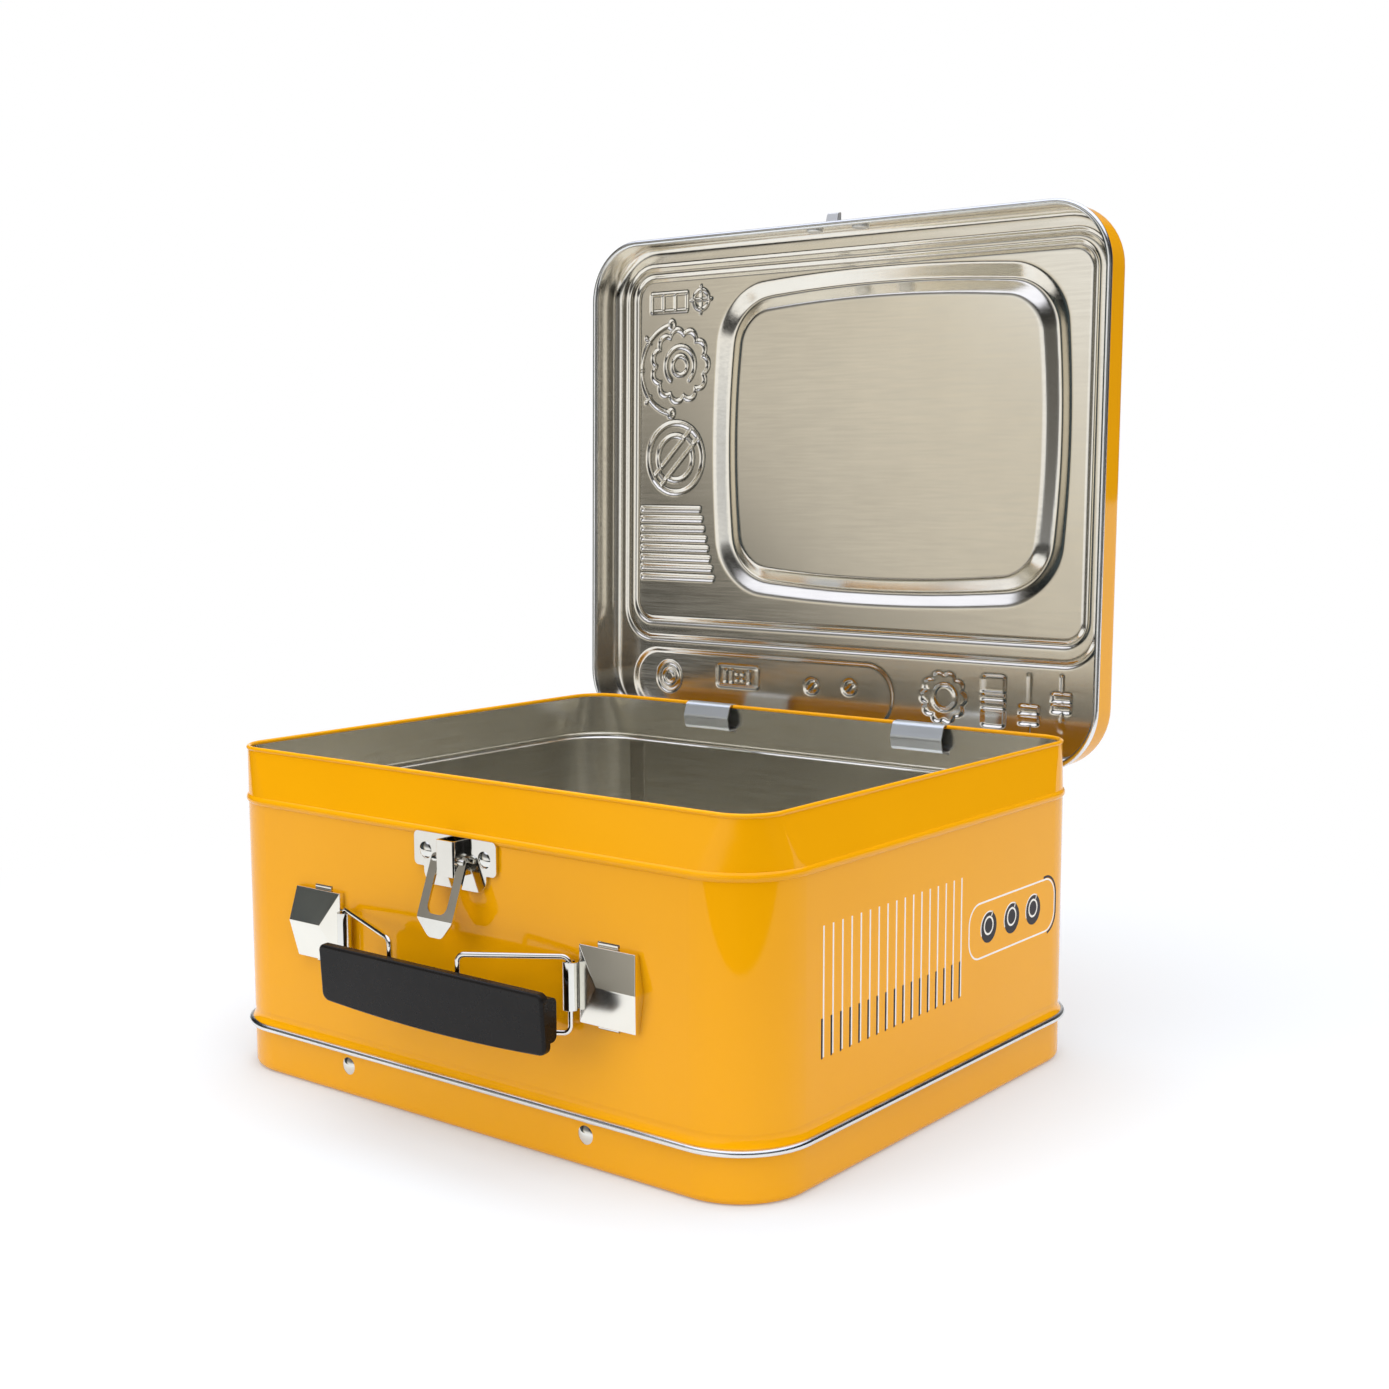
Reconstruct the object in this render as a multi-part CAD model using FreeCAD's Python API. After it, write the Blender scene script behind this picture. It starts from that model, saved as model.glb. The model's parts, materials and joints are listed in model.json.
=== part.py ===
import FreeCAD, Part

import math
import os

from FreeCAD import Vector as V

# Pressed-steel lunch box with a hinged lid that is embossed like the front of a small television set.
# Millimetres.  +X runs along the front wall, +Y points to the rear wall, +Z is up.
# The origin is the middle of the flat underside.  The lid stands open, leaning back on its stop.

# ---------------------------------------------------------------- driving dimensions: body
WALL_W = 210.0            # over the straight side walls
WALL_D = 179.0            # over the front and rear walls
BODY_H = 102.3            # underside to the top of the rim
CORNER_R = 21.5
SHEET = 0.6               # tinplate of body and base pan
RIM_INSET = 2.8           # the neck leans inward by this much at the rim
RIM_CORNER_R = 12.0       # tight rim corners keep the corners of the neck flush with the wall
HEM_R = 0.7               # rolled top edge
RIDGE_Z = 86.0            # pressed ridge below the neck
RIDGE_OUT = 0.7
RIDGE_HALF = 1.3
SEAM_Z = 14.45            # double seam between wall and base pan
SEAM_R = 1.05
SEAM_MID_OUT = 0.95
JOIN_Z = 14.2             # wall and pan meet here, inside the seam
COVE_TOP = 19.2           # the wall flares outward below this height
PAN_EDGE_R = 2.0
GROOVE_IN = 14.0          # stiffening groove of the base, distance in from the wall

# ---------------------------------------------------------------- driving dimensions: lid
LID_W = 215.0             # over the rolled rim
LID_D = 184.1
LID_CORNER_R = 21.65
LID_SHEET = 0.5
BEAD_R = 1.0              # rolled rim
LID_DEPTH = 13.8          # rim edge to the inside of the panel
LID_EDGE_R = 3.6
SKIRT_OUT = 0.3           # outer face of the skirt, outward from the middle of the rolled rim
HINGE_Y = 91.3            # the rear stretch of the rolled rim is the hinge pin
HINGE_Z = 89.8
LID_OPEN = 91.0           # degrees from closed to open
EMBOSS = 1.2
STRAP_RELIEF = 3.6        # slot in the skirt for a hinge strap, measured from the hinge axis

# ---------------------------------------------------------------- driving dimensions: hinge straps
STRAP_X = 44.9
STRAP_W = 20.0
STRAP_T = 0.5
STRAP_SIDE_GAP = 0.4
SLOT_Z = 92.9             # slot in the rear neck
SLOT_HALF = 0.9
STRAP_CREST = 102.1
RIM_NOTCH = 1.0           # the rim is pressed down this much under a strap

# ---------------------------------------------------------------- driving dimensions: latch
LATCH_X = 0.5
PLATE_T = 1.1             # pressed hollow at the top, where it lies over the ridge
PLATE_W = 32.4
PLATE_TOP = 85.9
EAR_BOTTOM = 76.0
TONGUE_W = 24.6
TONGUE_BOTTOM = 71.0
RIVET_X = 11.6
RIVET_Z = 80.5
ARCH_W = 7.2
ARCH_DEPTH = 3.9
ARCH_TOP = 85.2
ARCH_BOTTOM = 75.0
ARCH_T = 0.7
PIVOT_Z = 79.3
PIVOT_OUT = 3.1           # clasp axis in front of the wall
PIVOT_HOLE = 2.8          # square holes in the sides of the arch
CLASP_TILT = 20.6         # degrees, hanging outward at rest
CLASP_T = 0.7
LEG_IN = 3.85             # inner edge of a leg, from the middle of the clasp
LEG_OUT = 6.95
LEG_LEN = 16.8
WINDOW_END = 15.4
WINDOW_R = 2.6
TAB_DROP = 5.2
EAR_PIN_R = 0.9
CATCH_W = 26.0
CATCH_BOTTOM = 91.1
CATCH_TOP = 98.4
CATCH_RIVET_X = 9.5
CATCH_RIVET_Z = 95.4
LUG_W = 4.6
LUG_OUT = 3.4
LUG_TOP = 94.2

# ---------------------------------------------------------------- driving dimensions: rivets and fits
FIT = 0.02                # around a bead that sheet metal closes on
RIVET_R = 2.45
SHANK_R = 1.3
BASE_RIVET_R = 2.65
BASE_RIVET_X = 47.6
BASE_RIVET_Z = 9.4

# ---------------------------------------------------------------- driving dimensions: handle
CAP_IN = 47.6             # caps, distances from the middle of the front wall
CAP_OUT = 67.0
CAP_POINT = 68.6
CAP_APEX = 55.0
CAP_BOTTOM = 41.2
CAP_TOP = 62.7
CAP_RIDGE_Z = 52.2
CAP_EDGE_H = 1.8
CAP_H = 3.8
CAP_T = 0.45
TAB_X0 = 53.0             # bracket tabs that pass through the wall
TAB_X1 = 60.0
TAB_REACH = 0.7           # beyond the cap
BARREL_X = 45.0
BARREL_OUT = 2.35
BARREL_R = 2.2
BARREL_BORE_R = 1.25
BARREL_Z0 = 44.4
BARREL_Z1 = 57.6
LEAF_T = 0.4
WIRE_R = 0.8
LINK_LEN = 33.3           # between the two upright stretches of a wire link
LINK_H = 21.0
LINK_TOP = 58.9           # middle of the top wire at the barrel
LINK_DROOP = 2.2          # the far end hangs this much lower
LINK_BEND_R = 2.2
LINK_ANGLE = 19.3         # degrees out from the front wall at rest
LINK_IN = 10.0            # travel from rest towards the wall
LINK_OUT = 42.0           # travel from rest outward
GRIP_MID_X = 5.2
GRIP_TOP_LEN = 88.2
GRIP_BOTTOM_LEN = 87.6
GRIP_TOP = 52.4
GRIP_BOTTOM = 35.4
GRIP_BOW = 1.4            # the lower edge bows down
GRIP_FRONT_Y = -107.8
GRIP_FACE_T = 2.4
GRIP_LEAN = 4.0           # degrees, the lower edge sits further in
GRIP_CORNER_R = 2.6
GRIP_BACK_Y = -100.3
GRIP_BACK_LEN = 84.6
GRIP_BACK_TOP = 50.4
GRIP_BACK_BOTTOM = 38.2
WIRE_CLEAR = 0.4          # around a wire in the grip

# ---------------------------------------------------------------- worked-out values
FRONT = -WALL_D / 2
REAR = WALL_D / 2
NECK_Z = RIDGE_Z + RIDGE_HALF
PLATE_FACE = FRONT - PLATE_T
PIVOT_Y = FRONT - PIVOT_OUT
LID_RIM_Z = HINGE_Z - BEAD_R
LID_MID_Y = HINGE_Y - (LID_D / 2 - BEAD_R)
PANEL_IN_Z = LID_RIM_Z + LID_DEPTH
PANEL_OUT_Z = PANEL_IN_Z + LID_SHEET
BEAD_HALF_W = LID_W / 2 - BEAD_R
BEAD_HALF_D = LID_D / 2 - BEAD_R
BEAD_CORNER_R = LID_CORNER_R - BEAD_R
SKIRT_FRONT = LID_MID_Y - BEAD_HALF_D - SKIRT_OUT
BARREL_Y = FRONT - BARREL_OUT
LINK_DIR_X = math.cos(math.radians(LINK_ANGLE))
LINK_DIR_Y = -math.sin(math.radians(LINK_ANGLE))
GRIP_PIVOT_X = BARREL_X - LINK_LEN * LINK_DIR_X
GRIP_PIVOT_Y = BARREL_Y + LINK_LEN * LINK_DIR_Y
ALONG_X = V(1, 0, 0)
ALONG_Y = V(0, 1, 0)
UP = V(0, 0, 1)
LEFT_AND_RIGHT = (("left", -1), ("right", 1))


# ---------------------------------------------------------------- helpers
def box(x0, x1, y0, y1, z0, z1):
    """Box between two opposite corners, given in any order."""
    low = V(min(x0, x1), min(y0, y1), min(z0, z1))
    return Part.makeBox(abs(x1 - x0), abs(y1 - y0), abs(z1 - z0), low)


def loop_wire(stretches):
    """Closed wire from point lists in order: two points are a line, three an arc."""
    edges = []
    for pts in stretches:
        if len(pts) == 3:
            edges.append(Part.Arc(*pts).toShape())
        elif pts[0].distanceToPoint(pts[1]) > 1e-6:
            edges.append(Part.LineSegment(*pts).toShape())
    return Part.Wire(edges)


def rounded_loop(points, radii):
    """Closed wire through the points, each corner rounded by a tangent arc."""
    turns = []
    for i, (corner, radius) in enumerate(zip(points, radii)):
        back = (points[i - 1] - corner).normalize()
        ahead = (points[(i + 1) % len(points)] - corner).normalize()
        half = back.getAngle(ahead) / 2
        reach = radius / math.tan(half)
        knee = corner + (back + ahead).normalize() * (radius / math.sin(half) - radius)
        turns.append((corner + back * reach, knee, corner + ahead * reach))
    stretches = []
    for here, following in zip(turns, turns[1:] + turns[:1]):
        stretches.append(here)
        stretches.append((here[2], following[0]))
    return loop_wire(stretches)


def rounded_rect(half_w, half_d, radius, z, mid_y=0.0):
    """Horizontal rectangle with round corners."""
    corners = [V(sx * half_w, mid_y + sy * half_d, z) for sx, sy in ((1, -1), (1, 1), (-1, 1), (-1, -1))]
    return rounded_loop(corners, [radius] * 4)


def block(half_w, half_d, radius, z0, z1, mid_y=0.0):
    """Upright prism on a rounded rectangle."""
    return Part.Face(rounded_rect(half_w, half_d, radius, z0, mid_y)).extrude(V(0, 0, z1 - z0))


def sweep_ring(section, half_w, half_d, radius, mid_y=0.0):
    """Carry a section drawn as x = outward offset, z = height, round a rounded rectangle."""
    pieces = []
    run_x = half_w - radius
    run_y = half_d - radius
    for quarter in range(4):
        sx, sy = ((1, 1), (-1, 1), (-1, -1), (1, -1))[quarter]
        centre = V(sx * run_x, mid_y + sy * run_y, 0)
        turned = section.copy()
        turned.translate(V(radius, 0, 0))
        turned.rotate(V(), UP, 90 * quarter)
        turned.translate(centre)
        pieces.append(turned.revolve(centre, UP, 90))
        straight = 2 * (run_x if quarter % 2 == 0 else run_y)
        start = turned.copy()
        start.rotate(centre, UP, 90)
        path = V(-straight, 0, 0)
        if quarter % 2:
            path = V(0, -straight, 0)
        if quarter >= 2:
            path = path * -1
        pieces.append(start.extrude(path))
    return pieces[0].fuse(pieces[1:]).removeSplitter()


def section_polygon(points):
    """Section face from (offset, height) points."""
    corners = [V(a, 0, b) for a, b in points]
    return Part.Face(Part.makePolygon(corners + corners[:1]))


def section_disc(offset, height, radius):
    """Round section face."""
    return Part.Face(Part.Wire(Part.Circle(V(offset, 0, height), ALONG_Y, radius).toShape()))


def rod(start, direction, length, radius):
    return Part.makeCylinder(radius, length, start, direction)


def bent_rod(points, radii, radius):
    """Closed round wire: straight rods joined by round bends."""
    path = rounded_loop(points, radii)
    pieces = []
    for edge in path.Edges:
        start = edge.valueAt(edge.FirstParameter)
        tangent = edge.tangentAt(edge.FirstParameter)
        if isinstance(edge.Curve, Part.Circle):
            profile = Part.Wire(Part.Circle(start, tangent, radius).toShape())
            turn = math.degrees(edge.Length / edge.Curve.Radius)
            around = edge.Curve.Axis
            if (around.cross(start - edge.Curve.Center)).dot(tangent) < 0:
                around = around * -1
            pieces.append(Part.Face(profile).revolve(edge.Curve.Center, around, turn))
        else:
            pieces.append(rod(start, tangent, edge.Length, radius))
    return pieces[0].fuse(pieces[1:]).removeSplitter()


def rivet(x, z, face_y, outward, grip_len, head_r):
    """Domed rivet square to the front or rear wall: head outside, clinched tail inside."""
    out = V(0, outward, 0)
    seat = V(x, face_y, z)
    rise = head_r * 0.36
    ball_r = (head_r ** 2 + rise ** 2) / (2 * rise)
    ball = Part.makeSphere(ball_r, seat + out * (rise - ball_r))
    head = ball.common(rod(seat, out, rise + 1, head_r))
    shank = rod(seat, out * -1, grip_len, SHANK_R)
    tail = Part.makeCone(head_r * 0.8, head_r * 0.6, 0.7, seat - out * grip_len, out * -1)
    return head.fuse([shank, tail])


def shank_hole(x, z, face_y, outward):
    """Hole for a rivet's shank, long enough for plate and wall."""
    return rod(V(x, face_y + outward * 3, z), V(0, -outward, 0), 6, SHANK_R)


def largest(shape):
    """The one solid that counts, without slivers a cut has left behind."""
    return max(shape.Solids, key=lambda solid: solid.Volume)


def opened(shape):
    """Swing a piece drawn on the closed lid to the open rest position."""
    turned = shape.copy()
    turned.rotate(V(0, HINGE_Y, HINGE_Z), ALONG_X, -LID_OPEN)
    return turned


def save(name, shape):
    if not shape.isValid():
        raise ValueError(name + " is not a valid shape")
    if shape.ShapeType == "Compound" and len(shape.Solids) == 1:
        shape = shape.Solids[0]
    shape.exportStep("parts/" + name + ".step")
    print(name, len(shape.Solids), "solids", round(shape.Volume / 1000, 2), "cm3")


# ---------------------------------------------------------------- body pieces
def seam_ring(gap=0.0):
    return body_ring(section_disc(SEAM_MID_OUT, SEAM_Z, SEAM_R + gap))


def body_ring(section):
    return sweep_ring(section, WALL_W / 2, WALL_D / 2, CORNER_R)


def neck_block(inset):
    """Everything inside the neck surface moved inward by inset."""
    top = BODY_H - HEM_R
    low = rounded_rect(WALL_W / 2 - inset, WALL_D / 2 - inset, CORNER_R - inset, NECK_Z)
    high = rounded_rect(WALL_W / 2 - RIM_INSET - inset, WALL_D / 2 - RIM_INSET - inset,
                        RIM_CORNER_R - inset, top)
    return Part.makeLoft([low, high], True, True)


def strap_span(side):
    """Ends of a hinge strap's cut-out along X."""
    reach = STRAP_W / 2 + STRAP_SIDE_GAP
    return side * STRAP_X - reach, side * STRAP_X + reach


def make_body_shell():
    flare = V(1.2, 0, SEAM_Z + 0.55)
    low_wall = V(0, 0, COVE_TOP)
    below = V(0, 0, RIDGE_Z - RIDGE_HALF)
    peak = V(RIDGE_OUT, 0, RIDGE_Z)
    above = V(0, 0, NECK_Z)
    inward = V(-SHEET, 0, 0)
    foot = V(-SHEET, 0, JOIN_Z)
    lip = V(1.2, 0, JOIN_Z)
    section = Part.Face(loop_wire([
        (flare, V(0.25, 0, SEAM_Z + 1.9), low_wall),
        (low_wall, below),
        (below, peak, above),
        (above, above + inward),
        (above + inward, peak + inward, below + inward),
        (below + inward, foot),
        (foot, lip),
        (lip, flare),
    ]))
    neck = neck_block(0).cut(neck_block(SHEET))
    hem = sweep_ring(section_disc(-SHEET / 2, BODY_H - HEM_R, HEM_R),
                     WALL_W / 2 - RIM_INSET, WALL_D / 2 - RIM_INSET, RIM_CORNER_R)
    shell = body_ring(section).fuse([neck, hem])
    cuts = [seam_ring(FIT)]
    for side in (-1, 1):
        x0, x1 = strap_span(side)
        cuts.append(box(x0, x1, REAR - 4, REAR + 2, SLOT_Z - SLOT_HALF, SLOT_Z + SLOT_HALF))
        cuts.append(box(x0, x1, REAR - 6, REAR + 2, BODY_H - RIM_NOTCH, BODY_H + 1))
        cuts.append(shank_hole(LATCH_X + side * RIVET_X, RIVET_Z, FRONT, -1))
        for z in (CAP_TOP + TAB_REACH, CAP_BOTTOM - TAB_REACH):
            x_low = TAB_X0 - 0.3
            x_high = TAB_X1 + 0.3
            cuts.append(box(side * x_low, side * x_high, FRONT - 1, FRONT + 2, z - 0.5, z + 0.5))
    return shell.cut(cuts).removeSplitter()


def make_base_pan():
    outer = block(WALL_W / 2, WALL_D / 2, CORNER_R, 0, JOIN_Z)
    outer = outer.makeFillet(PAN_EDGE_R, [e for e in outer.Edges if e.BoundBox.ZMax < 1e-6])
    inner = block(WALL_W / 2 - SHEET, WALL_D / 2 - SHEET, CORNER_R - SHEET, SHEET, JOIN_Z + 1)
    floor_edges = [e for e in inner.Edges if e.BoundBox.ZMax < SHEET + 1e-6]
    inner = inner.makeFillet(PAN_EDGE_R - SHEET, floor_edges)
    rib_top = 1.6
    groove_top = rib_top - SHEET
    rib = body_ring(section_polygon([
        (-GROOVE_IN - 2.6, SHEET / 2), (-GROOVE_IN - 1.6, rib_top),
        (-GROOVE_IN + 1.6, rib_top), (-GROOVE_IN + 2.6, SHEET / 2)]))
    groove = body_ring(section_polygon([
        (-GROOVE_IN - 2.0, -0.1), (-GROOVE_IN - 1.2, groove_top),
        (-GROOVE_IN + 1.2, groove_top), (-GROOVE_IN + 2.0, -0.1)]))
    pan = outer.cut(inner).fuse(rib).cut([groove, seam_ring(FIT)])
    holes = []
    for side in (-1, 1):
        for x in (-BASE_RIVET_X, BASE_RIVET_X):
            holes.append(shank_hole(x, BASE_RIVET_Z, side * REAR, side))
    return pan.cut(holes).removeSplitter()


def make_base_rivets():
    rivets = []
    for side in (-1, 1):
        for x in (-BASE_RIVET_X, BASE_RIVET_X):
            rivets.append(rivet(x, BASE_RIVET_Z, side * REAR, side, SHEET, BASE_RIVET_R))
    return Part.Compound(rivets)


# ---------------------------------------------------------------- hinge straps
def make_hinge_strap(side):
    """Closed band: through the rear slot, round the lid's rim, over the body rim and down inside."""
    x = side * STRAP_X - STRAP_W / 2
    wrap = BEAD_R + 0.1 + STRAP_T / 2
    front = HINGE_Y - wrap - 0.4
    rear = HINGE_Y + wrap
    corners = [
        (front, SLOT_Z, 0.6), (front, HINGE_Z - wrap, wrap), (rear, HINGE_Z - wrap, wrap),
        (rear, HINGE_Z + wrap, wrap), (HINGE_Y - 0.3, HINGE_Z + wrap, 0.3),
        (REAR - 0.8, STRAP_CREST, 1.2), (REAR - 4.9, STRAP_CREST, 1.6),
        (REAR - 6.6, 97.2, 2.5), (REAR - 5.6, SLOT_Z, 1.5)]
    middle = rounded_loop([V(x, y, z) for y, z, _ in corners], [r for _, _, r in corners])
    outer = Part.Face(middle.makeOffset2D(STRAP_T / 2))
    inner = Part.Face(middle.makeOffset2D(-STRAP_T / 2))
    if outer.Area < inner.Area:
        outer, inner = inner, outer
    return outer.cut(inner).extrude(V(STRAP_W, 0, 0))


# ---------------------------------------------------------------- latch
def make_latch_plate(body_shell):
    half = PLATE_W / 2
    tongue = TONGUE_W / 2
    outline = [
        (-half, PLATE_TOP, 1.6), (half, PLATE_TOP, 1.6), (half, EAR_BOTTOM, 1.6),
        (tongue, EAR_BOTTOM, 0.4), (tongue, TONGUE_BOTTOM, 4.0), (-tongue, TONGUE_BOTTOM, 4.0),
        (-tongue, EAR_BOTTOM, 0.4), (-half, EAR_BOTTOM, 1.6)]
    corners = [V(LATCH_X + x, PLATE_FACE, z) for x, z, _ in outline]
    plate = Part.Face(rounded_loop(corners, [r for _, _, r in outline])).extrude(V(0, PLATE_T, 0))
    side = ARCH_W / 2
    front = PLATE_FACE - ARCH_DEPTH
    arch = box(LATCH_X - side, LATCH_X + side, front, PLATE_FACE, ARCH_BOTTOM, ARCH_TOP)
    upright = [e for e in arch.Edges if e.BoundBox.YMax < front + 1e-6 and e.BoundBox.ZLength > 1]
    arch = arch.makeFillet(0.8, upright)
    inside = box(LATCH_X - side + ARCH_T, LATCH_X + side - ARCH_T, front + ARCH_T, PLATE_FACE,
                 ARCH_BOTTOM - 1, ARCH_TOP + 1)
    hole = box(LATCH_X - side - 1, LATCH_X + side + 1, PIVOT_Y - PIVOT_HOLE / 2,
               PIVOT_Y + PIVOT_HOLE / 2, PIVOT_Z - PIVOT_HOLE / 2, PIVOT_Z + PIVOT_HOLE / 2)
    plate = plate.fuse(arch.cut(inside)).cut(hole)
    holes = [shank_hole(LATCH_X + s * RIVET_X, RIVET_Z, FRONT, -1) for s in (-1, 1)]
    return largest(plate.cut(holes + [body_shell]).removeSplitter())


def make_latch_rivets():
    return Part.Compound([rivet(LATCH_X + s * RIVET_X, RIVET_Z, PLATE_FACE, -1, PLATE_T + SHEET, RIVET_R)
                          for s in (-1, 1)])


def make_latch_clasp():
    """Drawn hanging straight down from an axis through the origin, then tilted and put in place."""
    top = 1.6
    legs = [
        (-LEG_OUT, top, 1.4), (-LEG_IN, top, 1.4), (-LEG_IN, -WINDOW_END, WINDOW_R),
        (LEG_IN, -WINDOW_END, WINDOW_R), (LEG_IN, top, 1.4), (LEG_OUT, top, 1.4),
        (LEG_OUT, -LEG_LEN, 0.2), (-LEG_OUT, -LEG_LEN, 0.2)]
    half_t = V(0, -CLASP_T / 2, 0)
    frame = Part.Face(rounded_loop([V(x, 0, z) + half_t for x, z, _ in legs], [r for _, _, r in legs]))
    frame = frame.extrude(V(0, CLASP_T, 0))
    tab = [(-LEG_OUT, 0, 0.2), (LEG_OUT, 0, 0.2), (LEG_OUT - 0.6, -0.9, 0.8), (2.6, -TAB_DROP, 2.4),
           (-2.6, -TAB_DROP, 2.4), (-LEG_OUT + 0.6, -0.9, 0.8)]
    tab_face = Part.Face(rounded_loop([V(x, 0, z) + half_t for x, z, _ in tab], [r for _, _, r in tab]))
    tab_plate = tab_face.extrude(V(0, CLASP_T, 0))
    tab_plate.translate(V(0, 0, -LEG_LEN))
    crease = V(0, 0, -LEG_LEN)
    tab_plate.rotate(crease, ALONG_X, CLASP_TILT)
    fold = rod(crease - ALONG_X * (LEG_OUT - 0.2), ALONG_X, 2 * LEG_OUT - 0.4, CLASP_T / 2)
    pieces = [tab_plate, fold]
    for s in (-1, 1):
        reach = LEG_OUT - 0.8 - 2.2
        pieces.append(rod(V(s * 2.2, 0, 0), V(s, 0, 0), reach, EAR_PIN_R))
    clasp = frame.fuse(pieces).removeSplitter()
    clasp.rotate(V(), ALONG_X, -CLASP_TILT)
    clasp.translate(V(LATCH_X, PIVOT_Y, PIVOT_Z))
    return clasp


# ---------------------------------------------------------------- lid, drawn closed
def lid_at(v):
    """Y of a point on the closed lid that is v in from the hinge-side edge."""
    return HINGE_Y + BEAD_R - v


def raised(outline, height=EMBOSS):
    """Pair of prisms that raise an outline of the lid panel: the outer skin and the hollow under it."""
    face = Part.Face(outline)
    bump = face.extrude(V(0, 0, LID_SHEET + height))
    hollow = Part.Face(outline.makeOffset2D(-LID_SHEET)).extrude(V(0, 0, height))
    if hollow.BoundBox.XLength > bump.BoundBox.XLength:
        hollow = Part.Face(outline.makeOffset2D(LID_SHEET)).extrude(V(0, 0, height))
    return bump, hollow


def panel_rect(u0, u1, v0, v1, radius):
    half_w = (u1 - u0) / 2
    half_d = (v1 - v0) / 2
    outline = rounded_rect(half_w, half_d, radius, PANEL_IN_Z, lid_at((v0 + v1) / 2))
    outline.translate(V((u0 + u1) / 2, 0, 0))
    return outline


def panel_disc(u, v, radius):
    return Part.Wire(Part.Circle(V(u, lid_at(v), PANEL_IN_Z), UP, radius).toShape())


def make_lid_pan():
    outer = block(BEAD_HALF_W + SKIRT_OUT, BEAD_HALF_D + SKIRT_OUT, BEAD_CORNER_R + SKIRT_OUT,
                  HINGE_Z, PANEL_OUT_Z, LID_MID_Y)
    outer = outer.makeFillet(LID_EDGE_R, [e for e in outer.Edges if e.BoundBox.ZMin > PANEL_OUT_Z - 1e-6])
    inset = SKIRT_OUT - LID_SHEET
    inner = block(BEAD_HALF_W + inset, BEAD_HALF_D + inset, BEAD_CORNER_R + inset,
                  HINGE_Z - 1, PANEL_IN_Z, LID_MID_Y)
    inner = inner.makeFillet(LID_EDGE_R - LID_SHEET,
                             [e for e in inner.Edges if e.BoundBox.ZMin > PANEL_IN_Z - 1e-6])
    pan = outer.cut(inner)
    frame_rib = (panel_rect(-97.5, 97.5, 39.5, 179.5, 16), panel_rect(-94.5, 94.5, 42.5, 176.5, 13))
    rib = Part.Face(frame_rib[0]).cut(Part.Face(frame_rib[1])).extrude(V(0, 0, LID_SHEET + EMBOSS))
    outlines = [
        panel_rect(-59.0, 89.0, 50.5, 169.5, 22),
        panel_rect(-95.5, 21.5, 11.0, 29.5, 9.2),
        panel_disc(-75.2, 138.3, 15.0),
        panel_disc(-77.2, 103.5, 13.9),
        panel_disc(42.7, 20.3, 8.7),
        panel_rect(58.1, 66.6, 11.8, 29.2, 1.5),
        panel_rect(-89.6, -71.5, 158.4, 165.9, 1.0),
    ]
    for row in range(8):
        v = 59.5 + row * 3.5
        outlines.append(panel_rect(-92.0, -63.0, v - 0.9, v + 0.9, 0.85))
    bumps = []
    hollows = []
    for outline in outlines[:7]:
        bump, hollow = raised(outline)
        bumps.append(bump)
        hollows.append(hollow)
    for outline in outlines[7:]:
        bumps.append(Part.Face(outline).extrude(V(0, 0, LID_SHEET + 0.8)))
    pan = pan.fuse(bumps + [rib]).cut(hollows)
    cuts = [lid_ring(FIT)]
    for side in (-1, 1):
        x0, x1 = strap_span(side)
        cuts.append(box(x0, x1, HINGE_Y - 2, HINGE_Y + 2, HINGE_Z - 1, HINGE_Z + STRAP_RELIEF))
        cuts.append(shank_hole(LATCH_X + side * CATCH_RIVET_X, CATCH_RIVET_Z, SKIRT_FRONT, -1))
    return opened(pan.cut(cuts).removeSplitter())


def lid_ring(gap=0.0):
    return sweep_ring(section_disc(0, HINGE_Z, BEAD_R + gap),
                      BEAD_HALF_W, BEAD_HALF_D, BEAD_CORNER_R, LID_MID_Y)


def make_catch_plate():
    thick = 0.8
    face_y = SKIRT_FRONT - thick
    x0 = LATCH_X - CATCH_W / 2
    x1 = LATCH_X + CATCH_W / 2
    corners = [V(x0, face_y, CATCH_BOTTOM), V(x1, face_y, CATCH_BOTTOM),
               V(x1, face_y, CATCH_TOP), V(x0, face_y, CATCH_TOP)]
    plate = Part.Face(rounded_loop(corners, [1.5, 1.5, 3.0, 3.0])).extrude(V(0, thick, 0))
    tip = face_y - LUG_OUT
    hook = [V(LATCH_X - LUG_W / 2, y, z) for y, z in (
        (face_y + 0.2, CATCH_BOTTOM + 0.3), (tip + 0.4, LUG_TOP - 1.8),
        (tip, LUG_TOP), (face_y + 0.2, LUG_TOP))]
    lug = Part.Face(rounded_loop(hook, [0.1, 0.5, 0.5, 0.1])).extrude(V(LUG_W, 0, 0))
    holes = [shank_hole(LATCH_X + s * CATCH_RIVET_X, CATCH_RIVET_Z, SKIRT_FRONT, -1) for s in (-1, 1)]
    return opened(plate.fuse(lug).cut(holes).removeSplitter()), face_y


def make_catch_rivets(face_y):
    rivets = [rivet(LATCH_X + s * CATCH_RIVET_X, CATCH_RIVET_Z, face_y, -1,
                    SKIRT_FRONT - face_y + LID_SHEET, RIVET_R) for s in (-1, 1)]
    return opened(Part.Compound(rivets))


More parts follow.
